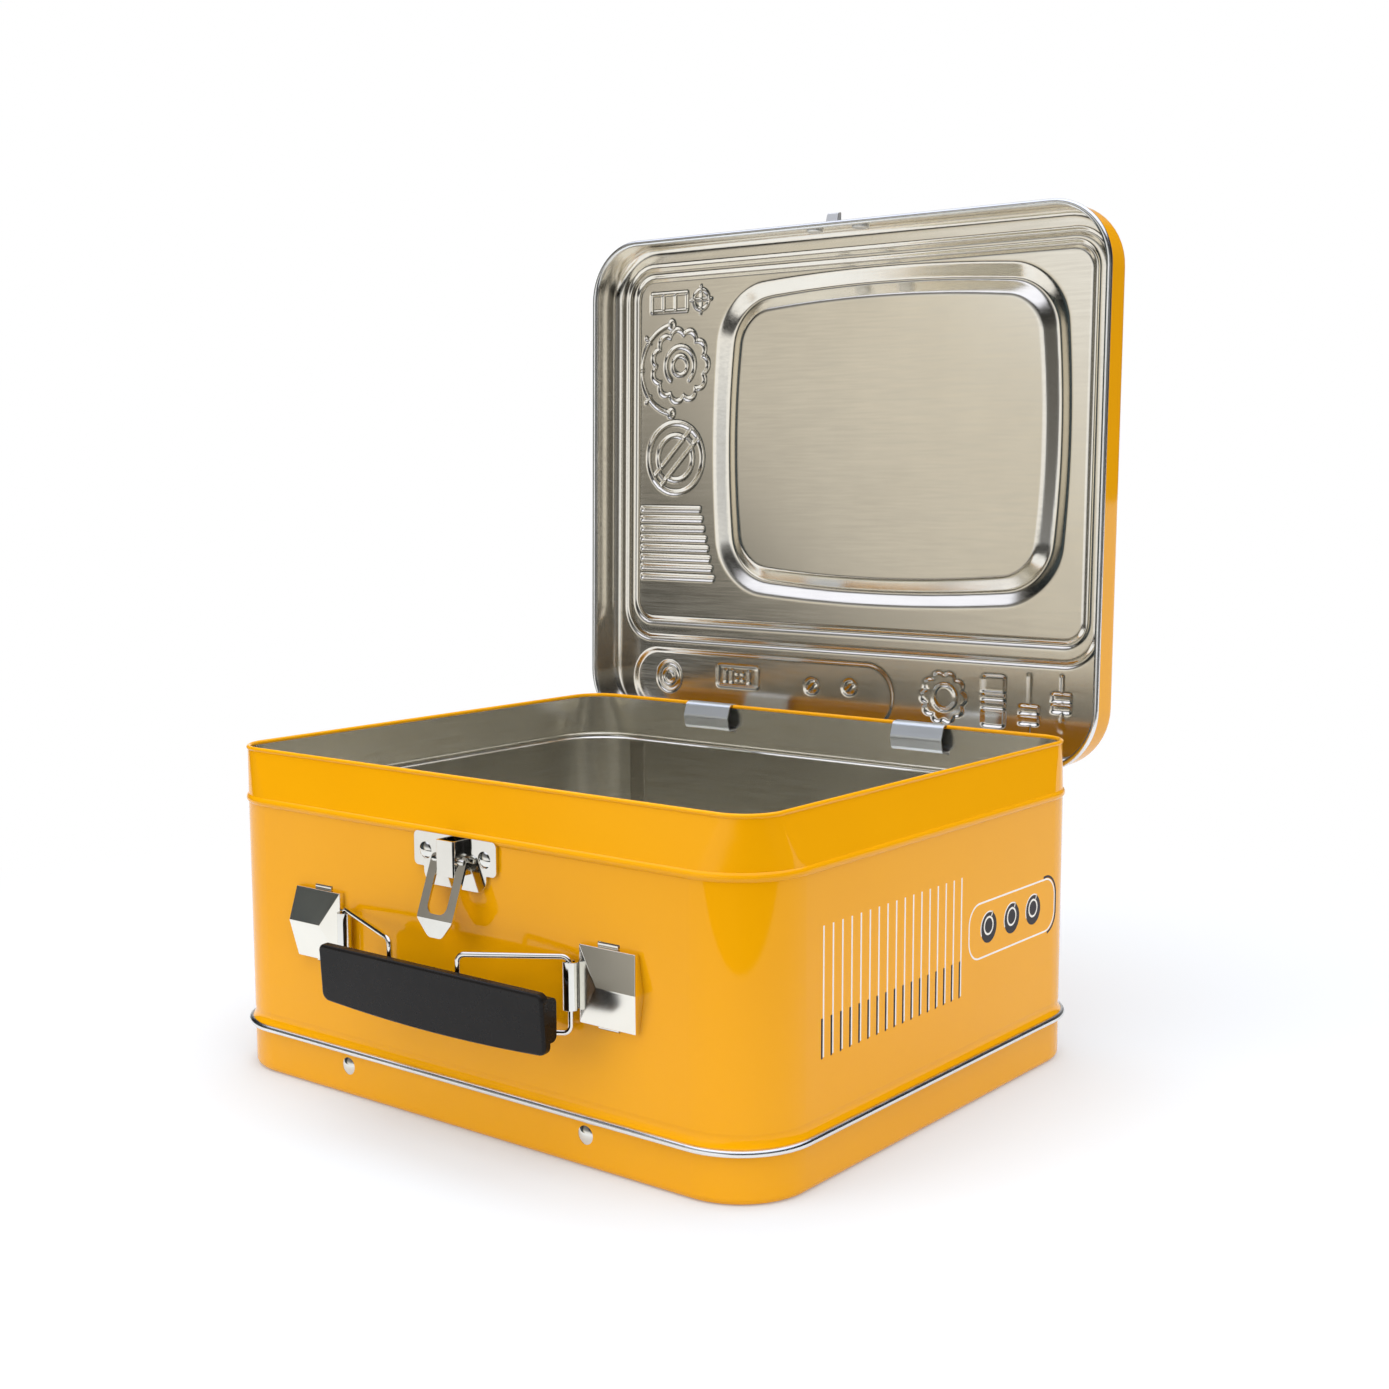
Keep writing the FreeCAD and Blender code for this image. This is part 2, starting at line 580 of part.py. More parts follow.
# ---------------------------------------------------------------- handle
def make_handle_bracket(side):
    """Leaf under the cap, rolled barrel beside it, and tabs clinched behind the wall."""
    leaf = box(side * BARREL_X, side * 62, FRONT - LEAF_T, FRONT, BARREL_Z0, BARREL_Z1)
    pieces = [box(side * 52, side * 62, FRONT - LEAF_T, FRONT, CAP_BOTTOM + 1, CAP_TOP - 1)]
    for end, toward in ((CAP_TOP, 1), (CAP_BOTTOM, -1)):
        tip = end + toward * (TAB_REACH + LEAF_T / 2)
        pieces.append(box(side * TAB_X0, side * TAB_X1, FRONT - LEAF_T, FRONT, end - toward * 2, tip))
        pieces.append(box(side * TAB_X0, side * TAB_X1, FRONT - LEAF_T, FRONT + SHEET + LEAF_T,
                          tip - toward * LEAF_T, tip))
        pieces.append(box(side * TAB_X0, side * TAB_X1, FRONT + SHEET, FRONT + SHEET + LEAF_T,
                          tip - toward * 3.5, tip))
    barrel = rod(V(side * BARREL_X, BARREL_Y, BARREL_Z0), UP, BARREL_Z1 - BARREL_Z0, BARREL_R)
    bore = rod(V(side * BARREL_X, BARREL_Y, BARREL_Z0 - 1), UP, BARREL_Z1 - BARREL_Z0 + 2, BARREL_BORE_R)
    return leaf.fuse(pieces + [barrel]).cut(bore).removeSplitter()


def hip_roof(side, shrink):
    """Solid under a hip roof with a pointed outer end, every face moved inward by shrink."""
    def point(x, z, height):
        return V(side * x, FRONT - height, z)

    rim = [(CAP_IN + shrink, CAP_BOTTOM + shrink), (CAP_OUT - shrink, CAP_BOTTOM + shrink),
           (CAP_POINT - shrink, CAP_RIDGE_Z), (CAP_OUT - shrink, CAP_TOP - shrink),
           (CAP_IN + shrink, CAP_TOP - shrink)]
    edge = CAP_EDGE_H - shrink
    heights = [edge, edge, CAP_H - shrink, edge, edge]
    low = [point(x, z, 0) for x, z in rim]
    high = [point(x, z, h) for (x, z), h in zip(rim, heights)]
    apex = point(CAP_APEX + shrink, CAP_RIDGE_Z, CAP_H - shrink)
    faces = [low, [high[0], high[1], high[2], apex],
             [high[4], apex, high[2], high[3]], [high[0], apex, high[4]]]
    for i in range(5):
        j = (i + 1) % 5
        faces.append([low[i], low[j], high[j], high[i]])
    shell = Part.makeShell([Part.Face(Part.makePolygon(f + f[:1])) for f in faces])
    solid = Part.Solid(shell)
    if solid.Volume < 0:
        solid.reverse()
    return solid


def make_handle_cap(side):
    """Cap pressed from thin sheet and open at the back, with notches for the bracket."""
    gap = box(side * (CAP_IN - 1), side * (CAP_IN + 2), FRONT - LEAF_T, FRONT + 1, BARREL_Z0, BARREL_Z1)
    tabs = [box(side * TAB_X0, side * TAB_X1, FRONT - LEAF_T, FRONT + 1, z - 1, z + 1)
            for z in (CAP_BOTTOM, CAP_TOP)]
    return hip_roof(side, 0).cut([hip_roof(side, CAP_T), gap] + tabs)


def make_handle_link(side):
    """Rectangular wire loop through the barrel and the grip; its far end droops."""
    def at(run, z):
        return V(side * (BARREL_X - run * LINK_DIR_X), BARREL_Y + run * LINK_DIR_Y, z)

    corners = [at(0, LINK_TOP), at(LINK_LEN, LINK_TOP - LINK_DROOP),
               at(LINK_LEN, LINK_TOP - LINK_DROOP - LINK_H), at(0, LINK_TOP - LINK_H)]
    return bent_rod(corners, [LINK_BEND_R] * 4, WIRE_R)


def make_grip_front():
    top = GRIP_TOP_LEN / 2
    low = GRIP_BOTTOM_LEN / 2
    r = GRIP_CORNER_R
    y = GRIP_FRONT_Y
    left_top = V(GRIP_MID_X - top, y, GRIP_TOP)
    right_top = V(GRIP_MID_X + top, y, GRIP_TOP)
    right_low = V(GRIP_MID_X + low, y, GRIP_BOTTOM)
    left_low = V(GRIP_MID_X - low, y, GRIP_BOTTOM)
    bow = V(GRIP_MID_X, y, GRIP_BOTTOM - GRIP_BOW)
    rounding = r * 0.3
    outline = loop_wire([
        (left_top + V(0.15 * r, 0, -r), left_top + V(rounding, 0, -rounding), left_top + V(r, 0, 0)),
        (left_top + V(r, 0, 0), right_top - V(r, 0, 0)),
        (right_top - V(r, 0, 0), right_top - V(rounding, 0, rounding), right_top - V(0.15 * r, 0, r)),
        (right_top - V(0.15 * r, 0, r), right_low + V(0, 0, r)),
        (right_low + V(0, 0, r), right_low + V(-rounding, 0, rounding), right_low - V(r, 0, 0)),
        (right_low - V(r, 0, 0), bow, left_low + V(r, 0, 0)),
        (left_low + V(r, 0, 0), left_low + V(rounding, 0, rounding), left_low + V(0, 0, r)),
        (left_low + V(0, 0, r), left_top + V(0.15 * r, 0, -r)),
    ])
    plate = Part.Face(outline).extrude(V(0, GRIP_FACE_T, 0))
    front_edges = [e for e in plate.Edges if e.BoundBox.YMax < y + 1e-6]
    plate = plate.makeFillet(0.9, front_edges)
    plate.rotate(left_top, ALONG_X, GRIP_LEAN)
    return plate


def make_grip_back(front_plate):
    """Rear half of the grip, with a hole for the left wire and a long slot for the right one."""
    slope = math.tan(math.radians(GRIP_LEAN))
    seat_y = GRIP_FRONT_Y + GRIP_FACE_T / math.cos(math.radians(GRIP_LEAN)) - 0.5
    x0 = GRIP_MID_X - GRIP_BACK_LEN / 2
    profile = [
        V(x0, seat_y + (GRIP_TOP - GRIP_BACK_TOP) * slope, GRIP_BACK_TOP),
        V(x0, GRIP_BACK_Y, GRIP_BACK_TOP),
        V(x0, GRIP_BACK_Y, GRIP_BACK_BOTTOM),
        V(x0, seat_y + (GRIP_TOP - GRIP_BACK_BOTTOM) * slope, GRIP_BACK_BOTTOM)]
    body = Part.Face(rounded_loop(profile, [0.1, 1.8, 1.8, 0.1])).extrude(V(GRIP_BACK_LEN, 0, 0))
    nearest = BARREL_X * 2 - 2 * LINK_LEN * math.cos(math.radians(LINK_ANGLE - LINK_IN))
    furthest = BARREL_X * 2 - 2 * LINK_LEN * math.cos(math.radians(LINK_ANGLE + LINK_OUT))
    half = WIRE_R + WIRE_CLEAR
    cuts = [front_plate]
    left_x = -GRIP_PIVOT_X
    for x_start, x_end in ((left_x, left_x), (left_x + nearest, left_x + furthest)):
        slot = box(x_start - half, x_end + half, GRIP_PIVOT_Y - half, GRIP_PIVOT_Y + half, 30, 60)
        cuts.append(slot.makeFillet(half * 0.95, [e for e in slot.Edges if e.BoundBox.ZLength > 29]))
    return largest(body.cut(cuts))


# ---------------------------------------------------------------- write the nodes
def main():
    os.makedirs("parts", exist_ok=True)
    body_shell = make_body_shell()
    save("body_shell", body_shell)
    save("base_pan", make_base_pan())
    save("base_seam_bead", seam_ring())
    save("base_rivets", make_base_rivets())
    save("latch_plate", make_latch_plate(body_shell))
    save("latch_rivets", make_latch_rivets())
    save("latch_clasp", make_latch_clasp())
    save("lid_pan", make_lid_pan())
    save("lid_rim_bead", opened(lid_ring()))
    catch_plate, catch_face_y = make_catch_plate()
    save("lid_catch_plate", catch_plate)
    save("lid_catch_rivets", make_catch_rivets(catch_face_y))
    for name, side in LEFT_AND_RIGHT:
        save("hinge_strap_" + name, make_hinge_strap(side))
        save("handle_bracket_" + name, make_handle_bracket(side))
        save("handle_cap_" + name, make_handle_cap(side))
        save("handle_link_" + name, make_handle_link(side))
    grip_front = make_grip_front()
    save("grip_front", grip_front)
    save("grip_back", make_grip_back(grip_front))


main()
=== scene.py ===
import json
import math

import bmesh
import bpy
import numpy as np
from mathutils import Matrix, Vector


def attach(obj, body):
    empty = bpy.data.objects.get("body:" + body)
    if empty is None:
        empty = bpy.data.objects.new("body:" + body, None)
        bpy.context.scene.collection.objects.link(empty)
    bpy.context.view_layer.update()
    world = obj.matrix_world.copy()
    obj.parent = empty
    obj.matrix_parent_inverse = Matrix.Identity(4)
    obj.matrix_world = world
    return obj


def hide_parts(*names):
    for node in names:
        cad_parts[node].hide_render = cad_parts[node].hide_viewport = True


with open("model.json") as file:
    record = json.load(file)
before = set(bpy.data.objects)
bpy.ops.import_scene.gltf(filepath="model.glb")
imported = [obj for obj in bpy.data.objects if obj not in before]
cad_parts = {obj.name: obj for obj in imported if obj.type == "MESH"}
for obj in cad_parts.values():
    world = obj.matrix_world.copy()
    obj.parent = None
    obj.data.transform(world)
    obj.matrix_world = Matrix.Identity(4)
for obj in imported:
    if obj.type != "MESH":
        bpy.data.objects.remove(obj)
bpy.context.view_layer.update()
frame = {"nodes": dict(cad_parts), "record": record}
NODES = frame["nodes"]
MM = 0.001
NOISE_LOW = 0.3
NOISE_HIGH = 0.7


# ------------------------------------------------------------------ node helpers
def new_material(name):
    material = bpy.data.materials.new(name)
    material.use_nodes = True
    tree = material.node_tree
    return material, tree, tree.nodes["Principled BSDF"]


def add(tree, kind, **settings):
    node = tree.nodes.new(kind)
    for key, value in settings.items():
        setattr(node, key, value)
    return node


def place(tree, stretch=(1, 1, 1)):
    """Object coordinates in metres, scaled along each axis."""
    coords = add(tree, "ShaderNodeTexCoord")
    mapping = add(tree, "ShaderNodeMapping")
    mapping.inputs["Scale"].default_value = stretch
    tree.links.new(coords.outputs["Object"], mapping.inputs["Vector"])
    return mapping.outputs["Vector"]


def noise(tree, scale, detail=2.0, stretch=(1, 1, 1), rough=0.5):
    node = add(tree, "ShaderNodeTexNoise")
    node.inputs["Scale"].default_value = scale
    node.inputs["Detail"].default_value = detail
    node.inputs["Roughness"].default_value = rough
    tree.links.new(place(tree, stretch), node.inputs["Vector"])
    return node.outputs["Fac"]


def spread(tree, value, low, high):
    """Maps the middle of a noise to a number range."""
    node = add(tree, "ShaderNodeMapRange")
    node.inputs["From Min"].default_value = NOISE_LOW
    node.inputs["From Max"].default_value = NOISE_HIGH
    node.inputs["To Min"].default_value = low
    node.inputs["To Max"].default_value = high
    tree.links.new(value, node.inputs["Value"])
    return node.outputs["Result"]


def two_tone(tree, factor, first, second):
    node = add(tree, "ShaderNodeMix", data_type="RGBA")
    node.inputs["A"].default_value = (*first, 1)
    node.inputs["B"].default_value = (*second, 1)
    tree.links.new(factor, node.inputs["Factor"])
    return node.outputs["Result"]


def relief(tree, bsdf, height, strength, distance):
    node = add(tree, "ShaderNodeBump")
    node.inputs["Strength"].default_value = strength
    node.inputs["Distance"].default_value = distance
    tree.links.new(height, node.inputs["Height"])
    tree.links.new(node.outputs["Normal"], bsdf.inputs["Normal"])


def enamel(name, light, dark, rough=(0.035, 0.065), shine=0.26):
    """Gloss enamel or ink: slight drift in tone, fine orange peel."""
    material, tree, bsdf = new_material(name)
    tone = spread(tree, noise(tree, 14, 3), 0, 1)
    tree.links.new(two_tone(tree, tone, light, dark), bsdf.inputs["Base Color"])
    tree.links.new(spread(tree, noise(tree, 70, 4), *rough), bsdf.inputs["Roughness"])
    relief(tree, bsdf, noise(tree, 300, 1), 0.012, 0.0003)
    bsdf.inputs["Specular IOR Level"].default_value = shine
    return material


def metal(name, light, dark, rough, grain, grain_scale, bump, tone_scale=22):
    """Bare or plated metal with a rolled grain and faint stains."""
    material, tree, bsdf = new_material(name)
    tone = spread(tree, noise(tree, tone_scale, 4, rough=0.6), 0, 1)
    tree.links.new(two_tone(tree, tone, light, dark), bsdf.inputs["Base Color"])
    bsdf.inputs["Metallic"].default_value = 1.0
    streaks = noise(tree, grain_scale, 3, grain)
    tree.links.new(spread(tree, streaks, *rough), bsdf.inputs["Roughness"])
    relief(tree, bsdf, streaks, bump, 0.00008)
    return material


def moulded(name, light, dark, rough):
    """Moulded plastic with a fine satin grain."""
    material, tree, bsdf = new_material(name)
    tone = spread(tree, noise(tree, 90, 4), 0, 1)
    tree.links.new(two_tone(tree, tone, light, dark), bsdf.inputs["Base Color"])
    tree.links.new(spread(tree, noise(tree, 260, 3), *rough), bsdf.inputs["Roughness"])
    relief(tree, bsdf, noise(tree, 3000, 1), 0.03, 0.00005)
    bsdf.inputs["Specular IOR Level"].default_value = 0.17
    return material


PAINT = enamel("golden_enamel", (0.87, 0.385, 0.002), (0.84, 0.362, 0.0015))
TIN = metal("bare_tinplate", (0.87, 0.83, 0.74), (0.81, 0.77, 0.685), (0.13, 0.20),
            grain=(1, 22, 22), grain_scale=60, bump=0.014)
# Lighter copy of the bare tinplate for the inner faces of the box and its base: painted light, so the dim
# inside of the box reads brighter.
POT_TIN_PAINTED_BRIGHT = metal("bare_tinplate_inside_painted_bright", (0.97, 0.94, 0.84), (0.94, 0.91, 0.81), (0.19, 0.27),
                grain=(1, 1, 22), grain_scale=60, bump=0.008)
BRIGHT_TIN = metal("bright_tin_bead", (0.86, 0.87, 0.86), (0.76, 0.77, 0.77), (0.16, 0.26),
                   grain=(3, 3, 3), grain_scale=60, bump=0.03)
# Lighter, warmer copy of the bright nickel for the handle caps: painted light, a painted beige reflection on
# the caps' upper facets.
CAP_NICKEL_LIT = metal("cap_nickel_painted_light", (0.90, 0.87, 0.79), (0.85, 0.82, 0.74), (0.13, 0.19),
                   grain=(1, 1, 1), grain_scale=40, bump=0.006)
CATCH_NICKEL = metal("catch_nickel", (0.97, 0.97, 0.95), (0.92, 0.92, 0.89), (0.40, 0.50),
                     grain=(1, 1, 1), grain_scale=40, bump=0.006)
STRAP_STEEL = metal("strap_steel", (0.93, 0.97, 1.0), (0.86, 0.91, 0.95), (0.36, 0.46),
                    grain=(1, 12, 12), grain_scale=60, bump=0.012)
NICKEL = metal("bright_nickel", (0.80, 0.785, 0.735), (0.75, 0.735, 0.685), (0.05, 0.10),
               grain=(1, 1, 1), grain_scale=300, bump=0.015, tone_scale=160)
BLACK_PLASTIC = moulded("black_satin_plastic", (0.011, 0.0095, 0.0088), (0.008, 0.007, 0.0065),
                        (0.24, 0.34))
WHITE_INK = enamel("white_print", (0.93, 0.88, 0.80), (0.87, 0.82, 0.75), (0.18, 0.26))
DARK_INK = enamel("dark_print", (0.030, 0.025, 0.030), (0.020, 0.017, 0.020), (0.20, 0.28), shine=0.12)


# ------------------------------------------------------------------ mesh helpers
def mesh_object(name, points, faces, materials, face_slots=None, smooth=True):
    mesh = bpy.data.meshes.new(name)
    mesh.from_pydata([tuple(p) for p in points], [], faces)
    for material in materials:
        mesh.materials.append(material)
    if face_slots is not None:
        mesh.polygons.foreach_set("material_index", np.asarray(face_slots, dtype=np.int32))
    mesh.polygons.foreach_set("use_smooth", [smooth] * len(mesh.polygons))
    mesh.update()
    piece = bpy.data.objects.new(name, mesh)
    bpy.context.scene.collection.objects.link(piece)
    return piece


def stand_for(piece, body, *nodes):
    """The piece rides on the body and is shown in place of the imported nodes."""
    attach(piece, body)
    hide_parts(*nodes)


def body_of_node(node):
    groups = frame["record"]["behaviour"]["bodies"]
    return next(name for name, members in groups.items() if node in members)


def rounded_distance(x, y, half_w, half_d, radius):
    """Signed distance to a rounded rectangle about the origin, negative inside."""
    qx = np.abs(x) - half_w + radius
    qy = np.abs(y) - half_d + radius
    outside = np.hypot(np.maximum(qx, 0), np.maximum(qy, 0))
    return outside + np.minimum(np.maximum(qx, qy), 0) - radius


def two_sided(node, name, is_outside):
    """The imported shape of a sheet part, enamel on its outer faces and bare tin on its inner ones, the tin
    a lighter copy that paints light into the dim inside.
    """
    mesh = NODES[node].data.copy()
    mesh.materials.clear()
    mesh.materials.append(PAINT)
    mesh.materials.append(POT_TIN_PAINTED_BRIGHT)
    count = len(mesh.polygons)
    centres = np.zeros(count * 3)
    normals = np.zeros(count * 3)
    mesh.polygons.foreach_get("center", centres)
    mesh.polygons.foreach_get("normal", normals)
    outside = is_outside(centres.reshape(-1, 3) / MM, normals.reshape(-1, 3))
    mesh.polygons.foreach_set("material_index", np.where(outside, 0, 1).astype(np.int32))
    piece = bpy.data.objects.new(name, mesh)
    bpy.context.scene.collection.objects.link(piece)
    stand_for(piece, body_of_node(node), node)


WELD_REACH = 3e-6
FLAT_TURN = math.radians(0.6)


def refined(node, name, material, bevel, segments=2, angle=28):
    """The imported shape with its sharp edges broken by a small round; bevel in metres, angle in degrees."""
    mesh = NODES[node].data.copy()
    mesh.materials.clear()
    mesh.materials.append(material)
    work = bmesh.new()
    work.from_mesh(mesh)
    bmesh.ops.remove_doubles(work, verts=work.verts, dist=WELD_REACH)
    bmesh.ops.dissolve_limit(work, angle_limit=FLAT_TURN, verts=work.verts, edges=work.edges)
    work.to_mesh(mesh)
    work.free()
    if "custom_normal" in mesh.attributes:
        mesh.attributes.remove(mesh.attributes["custom_normal"])
    mesh.polygons.foreach_set("material_index", [0] * len(mesh.polygons))
    mesh.polygons.foreach_set("use_smooth", [True] * len(mesh.polygons))
    piece = bpy.data.objects.new(name, mesh)
    bpy.context.scene.collection.objects.link(piece)
    round_off = piece.modifiers.new("edge_round", "BEVEL")
    round_off.width = bevel
    round_off.segments = segments
    round_off.limit_method = "ANGLE"
    round_off.angle_limit = math.radians(angle)
    round_off.use_clamp_overlap = True
    even = piece.modifiers.new("even_shading", "WEIGHTED_NORMAL")
    even.keep_sharp = False
    even.weight = 80
    stand_for(piece, body_of_node(node), node)


def repaint(node, material):
    """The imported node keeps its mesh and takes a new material."""
    NODES[node].data.materials.clear()
    NODES[node].data.materials.append(material)


# ------------------------------------------------------------------ body: sheet with two finishes
# millimetres
WALL_HALF = (105.0, 89.5)
CORNER_R = 21.5
NECK_Z = 87.3
RIM_Z = 101.6
RIM_INSET = 2.8
RIM_R = 12.0
RIM_ROLL = 0.75
SHEET = 0.6
RIDGE_Z = (84.2, 87.8)
PROBE = 0.05


def body_outside(centre, normal):
    """True for faces on the outer side of the wall. The pressed ridge bulges past the wall's thickness,
    so there the direction of the face decides."""
    x, y, z = centre.T
    lean = np.clip((z - NECK_Z) / (RIM_Z - NECK_Z), 0, 1)
    half_w = WALL_HALF[0] - RIM_INSET * lean
    half_d = WALL_HALF[1] - RIM_INSET * lean
    radius = CORNER_R + (RIM_R - CORNER_R) * lean
    depth = rounded_distance(x, y, half_w, half_d, radius)
    slope_x = rounded_distance(x + PROBE, y, half_w, half_d, radius) - depth
    slope_y = rounded_distance(x, y + PROBE, half_w, half_d, radius) - depth
    faces_out = slope_x * normal[:, 0] + slope_y * normal[:, 1] > 0
    in_ridge = (z > RIDGE_Z[0]) & (z < RIDGE_Z[1])
    return np.where(in_ridge, faces_out, (depth > -SHEET / 2) | (z > RIM_Z - RIM_ROLL))


def pan_outside(centre, normal):
    """True for the pan's outer side and its underside."""
    depth = rounded_distance(centre[:, 0], centre[:, 1], *WALL_HALF, CORNER_R)
    return (depth > -SHEET / 2) | (normal[:, 2] < -0.2)


two_sided("body_shell", "body_wall", body_outside)
two_sided("base_pan", "base_tray", pan_outside)

# ------------------------------------------------------------------ lid with its pressed relief
# millimetres, in the closed lid: u across, v in from the hinge edge, w up from the rim
HINGE = (91.3, 89.8)
HINGE_IN = 1.0
REAR_Y = 92.3
LID_OPEN = math.radians(-91.0)
LID_MID_Y = 0.25
CORE = (85.85, 70.4)
BEAD_CORNER = 20.65
INNER_OFFSET = -0.2
OUTER_OFFSET = 0.3
SKIN = 0.5
PANEL_W = 13.8
EDGE_R = 3.6
STRAP_SPAN = (34.5, 55.3)
STRAP_SLOT_W = 4.6


def lid_points(u, v, w):
    """Closed-lid millimetres to open-lid metres."""
    dy = HINGE_IN - v
    dz = w - HINGE_IN
    y = HINGE[0] + dy * math.cos(LID_OPEN) - dz * math.sin(LID_OPEN)
    z = HINGE[1] + dy * math.sin(LID_OPEN) + dz * math.cos(LID_OPEN)
    return np.stack([u, y, z], -1) * MM


def rect_gap(u, v, u0, u1, v0, v1, radius):
    """Signed distance to a rounded rectangle."""
    return rounded_distance(u - (u0 + u1) / 2, v - (v0 + v1) / 2, (u1 - u0) / 2, (v1 - v0) / 2, radius)


def ring_gap(u, v, cu, cv, radius):
    """Signed distance to a circle."""
    return np.hypot(u - cu, v - cv) - radius


def groove(gap, width, depth):
    """Round-bottomed channel pressed outward along gap = 0."""
    t = np.clip(np.abs(gap) / (width / 2), 0, 1)
    return depth * 0.5 * (1 + np.cos(np.pi * t))


def sink(gap, width, depth):
    """Flat pocket where gap is negative, with a soft wall."""
    t = np.clip(0.5 - gap / width, 0, 1)
    return depth * t * t * (3 - 2 * t)


def tube_gap(u, v, middle, half, bulge, radius):
    """Distance to a picture-tube outline: a rounded rectangle with bowed sides."""
    x = u - middle[0]
    y = v - middle[1]
    half_u, half_v = half
    side_u = half_u - bulge * np.clip(y / half_v, -1.2, 1.2) ** 2
    side_v = half_v - bulge * np.clip(x / half_u, -1.2, 1.2) ** 2
    return rounded_distance(x, y, side_u, side_v, radius)


def segment_gap(u, v, u0, v0, u1, v1):
    """Distance to a straight stroke."""
    du, dv = u1 - u0, v1 - v0
    along = np.clip(((u - u0) * du + (v - v0) * dv) / (du ** 2 + dv ** 2), 0, 1)
    return np.hypot(u - u0 - along * du, v - v0 - along * dv)


def flower_gap(u, v, cu, cv, radius, petals, depth):
    """Distance to a scalloped circle."""
    turn = np.arctan2(v - cv, u - cu)
    edge = radius - depth * (1 - np.abs(np.cos(turn * petals / 2)) ** 0.7)
    return np.hypot(u - cu, v - cv) - edge


def arc_gap(u, v, cu, cv, radius, middle, half_turn):
    """Distance to an arc about (cu, cv); angles in degrees."""
    turn = np.degrees(np.arctan2(v - cv, u - cu)) - middle
    turn = (turn + 180) % 360 - 180
    held = np.radians(np.clip(turn, -half_turn, half_turn) + middle)
    return np.hypot(u - cu - radius * np.cos(held), v - cv - radius * np.sin(held))


SCREEN_MID = (15.3, 109.7)
SCREEN_HALF = (63.1, 48.9)
FRAME_MID = (14.9, 110.0)
FRAME_HALF = (74.0, 59.6)
SIDE_BOW = 4.0
FRAME_HEIGHT = 2.6
FRAME_FOOT = 0.22
FRAME_TOP = 0.14
CROWN = 0.5


def screen_relief(u, v):
    """The frame, a ridge with a soft foot and top between two outlines, and the crown of the screen."""
    inner = tube_gap(u, v, SCREEN_MID, SCREEN_HALF, SIDE_BOW, 10.0)
    outer = tube_gap(u, v, FRAME_MID, FRAME_HALF, SIDE_BOW, 19.0)
    t = np.clip(inner / np.maximum(inner - outer, 1e-6), 0, 1)
    rise = 1 - np.abs(2 * t - 1)
    whole = 1 - FRAME_FOOT / 2 - FRAME_TOP / 2
    soft = np.where(rise < FRAME_FOOT, rise ** 2 / (2 * FRAME_FOOT), rise - FRAME_FOOT / 2)
    soft = np.where(rise > 1 - FRAME_TOP, whole - (1 - rise) ** 2 / (2 * FRAME_TOP), soft)
    bow_u = np.clip(1 - ((u - SCREEN_MID[0]) / SCREEN_HALF[0]) ** 2, 0, 1)
    bow_v = np.clip(1 - ((v - SCREEN_MID[1]) / SCREEN_HALF[1]) ** 2, 0, 1)
    return FRAME_HEIGHT * soft / whole * (outer < 0) + CROWN * bow_u * bow_v


SELECTOR = (-75.2, 138.3)
TICK_ARC = (-77.3, 137.0)
TICK_ARC_R = 16.8
DIAL = (-77.2, 103.5)
DIAL_BAR = (2.4, 13.4)
LAMP_U = -89.2
LAMP_PITCH = 5.75
LAMP_RIGHT = -71.95
LAMP_V = (158.8, 165.4)
CROSSHAIR = (-65.3, 162.4)
SLOT_TOP_V = 84.0
SLOT_PITCH = 3.72
SLOT_LEFT = -93.2
SLOT_RIGHT = -65.5
SLOT_GROWTH = 0.95
STRIP_DEPTH = 0.8
TUNER = (-80.0, 19.5)
SMALL_KNOBS = ((-13.2, 20.2), (3.3, 21.0))
STRIP_FLOWER = (42.7, 20.3)
SLIDERS = ((75.9, 7.0, 30.2, 16.7), (87.9, 7.0, 30.4, 21.6))
FAINT = 0.001


def borders(u, v):
    return [groove(rect_gap(u, v, -96.0, 96.0, 41.0, 171.4, 8), 3.2, 0.85),
            groove(rect_gap(u, v, -100.3, 100.3, 34.3, 175.4, 12), 3.0, 0.7)]


def selector(u, v):
    """Scalloped channel selector with its tick arc."""
    lines = [groove(flower_gap(u, v, *SELECTOR, 13.6, 11, 2.2), 1.9, 0.8),
             groove(arc_gap(u, v, *SELECTOR, 7.0, 90, 140), 1.8, 0.7),
             groove(ring_gap(u, v, *SELECTOR, 3.6), 1.6, 0.6),
             groove(arc_gap(u, v, *TICK_ARC, TICK_ARC_R, 180, 84), 1.7, 0.65)]
    cu, cv = TICK_ARC
    for turn in np.radians((97, 263)):
        end_u = cu + TICK_ARC_R * math.cos(turn)
        end_v = cv + TICK_ARC_R * math.sin(turn)
        lines.append(groove(ring_gap(u, v, end_u, end_v, 1.3), 1.5, 0.7))
    for turn in np.radians((140, 180, 220)):
        du, dv = math.cos(turn), math.sin(turn)
        tick = segment_gap(u, v, cu + 16 * du, cv + 16 * dv, cu + 19 * du, cv + 19 * dv)
        lines.append(groove(tick, 1.5, 0.6))
    return lines


def barred_dial(u, v):
    """Round dial with a slanting bar across it."""
    slant = math.sqrt(0.5)
    across = (u - DIAL[0]) * slant - (v - DIAL[1]) * slant
    along = (u - DIAL[0]) * slant + (v - DIAL[1]) * slant
    bar = rounded_distance(across, along, *DIAL_BAR, 0.6)
    lines = [groove(ring_gap(u, v, *DIAL, 13.2), 2.2, 0.8),
             groove(ring_gap(u, v, *DIAL, 8.4), 2.0, 0.7) * (bar > 0),
             groove(bar, 1.7, 0.75)]
    for end in (-9.6, 9.6):
        lines.append(groove(np.maximum(np.abs(along - end), np.abs(across) - DIAL_BAR[0]), 1.3, 0.6))
    return lines


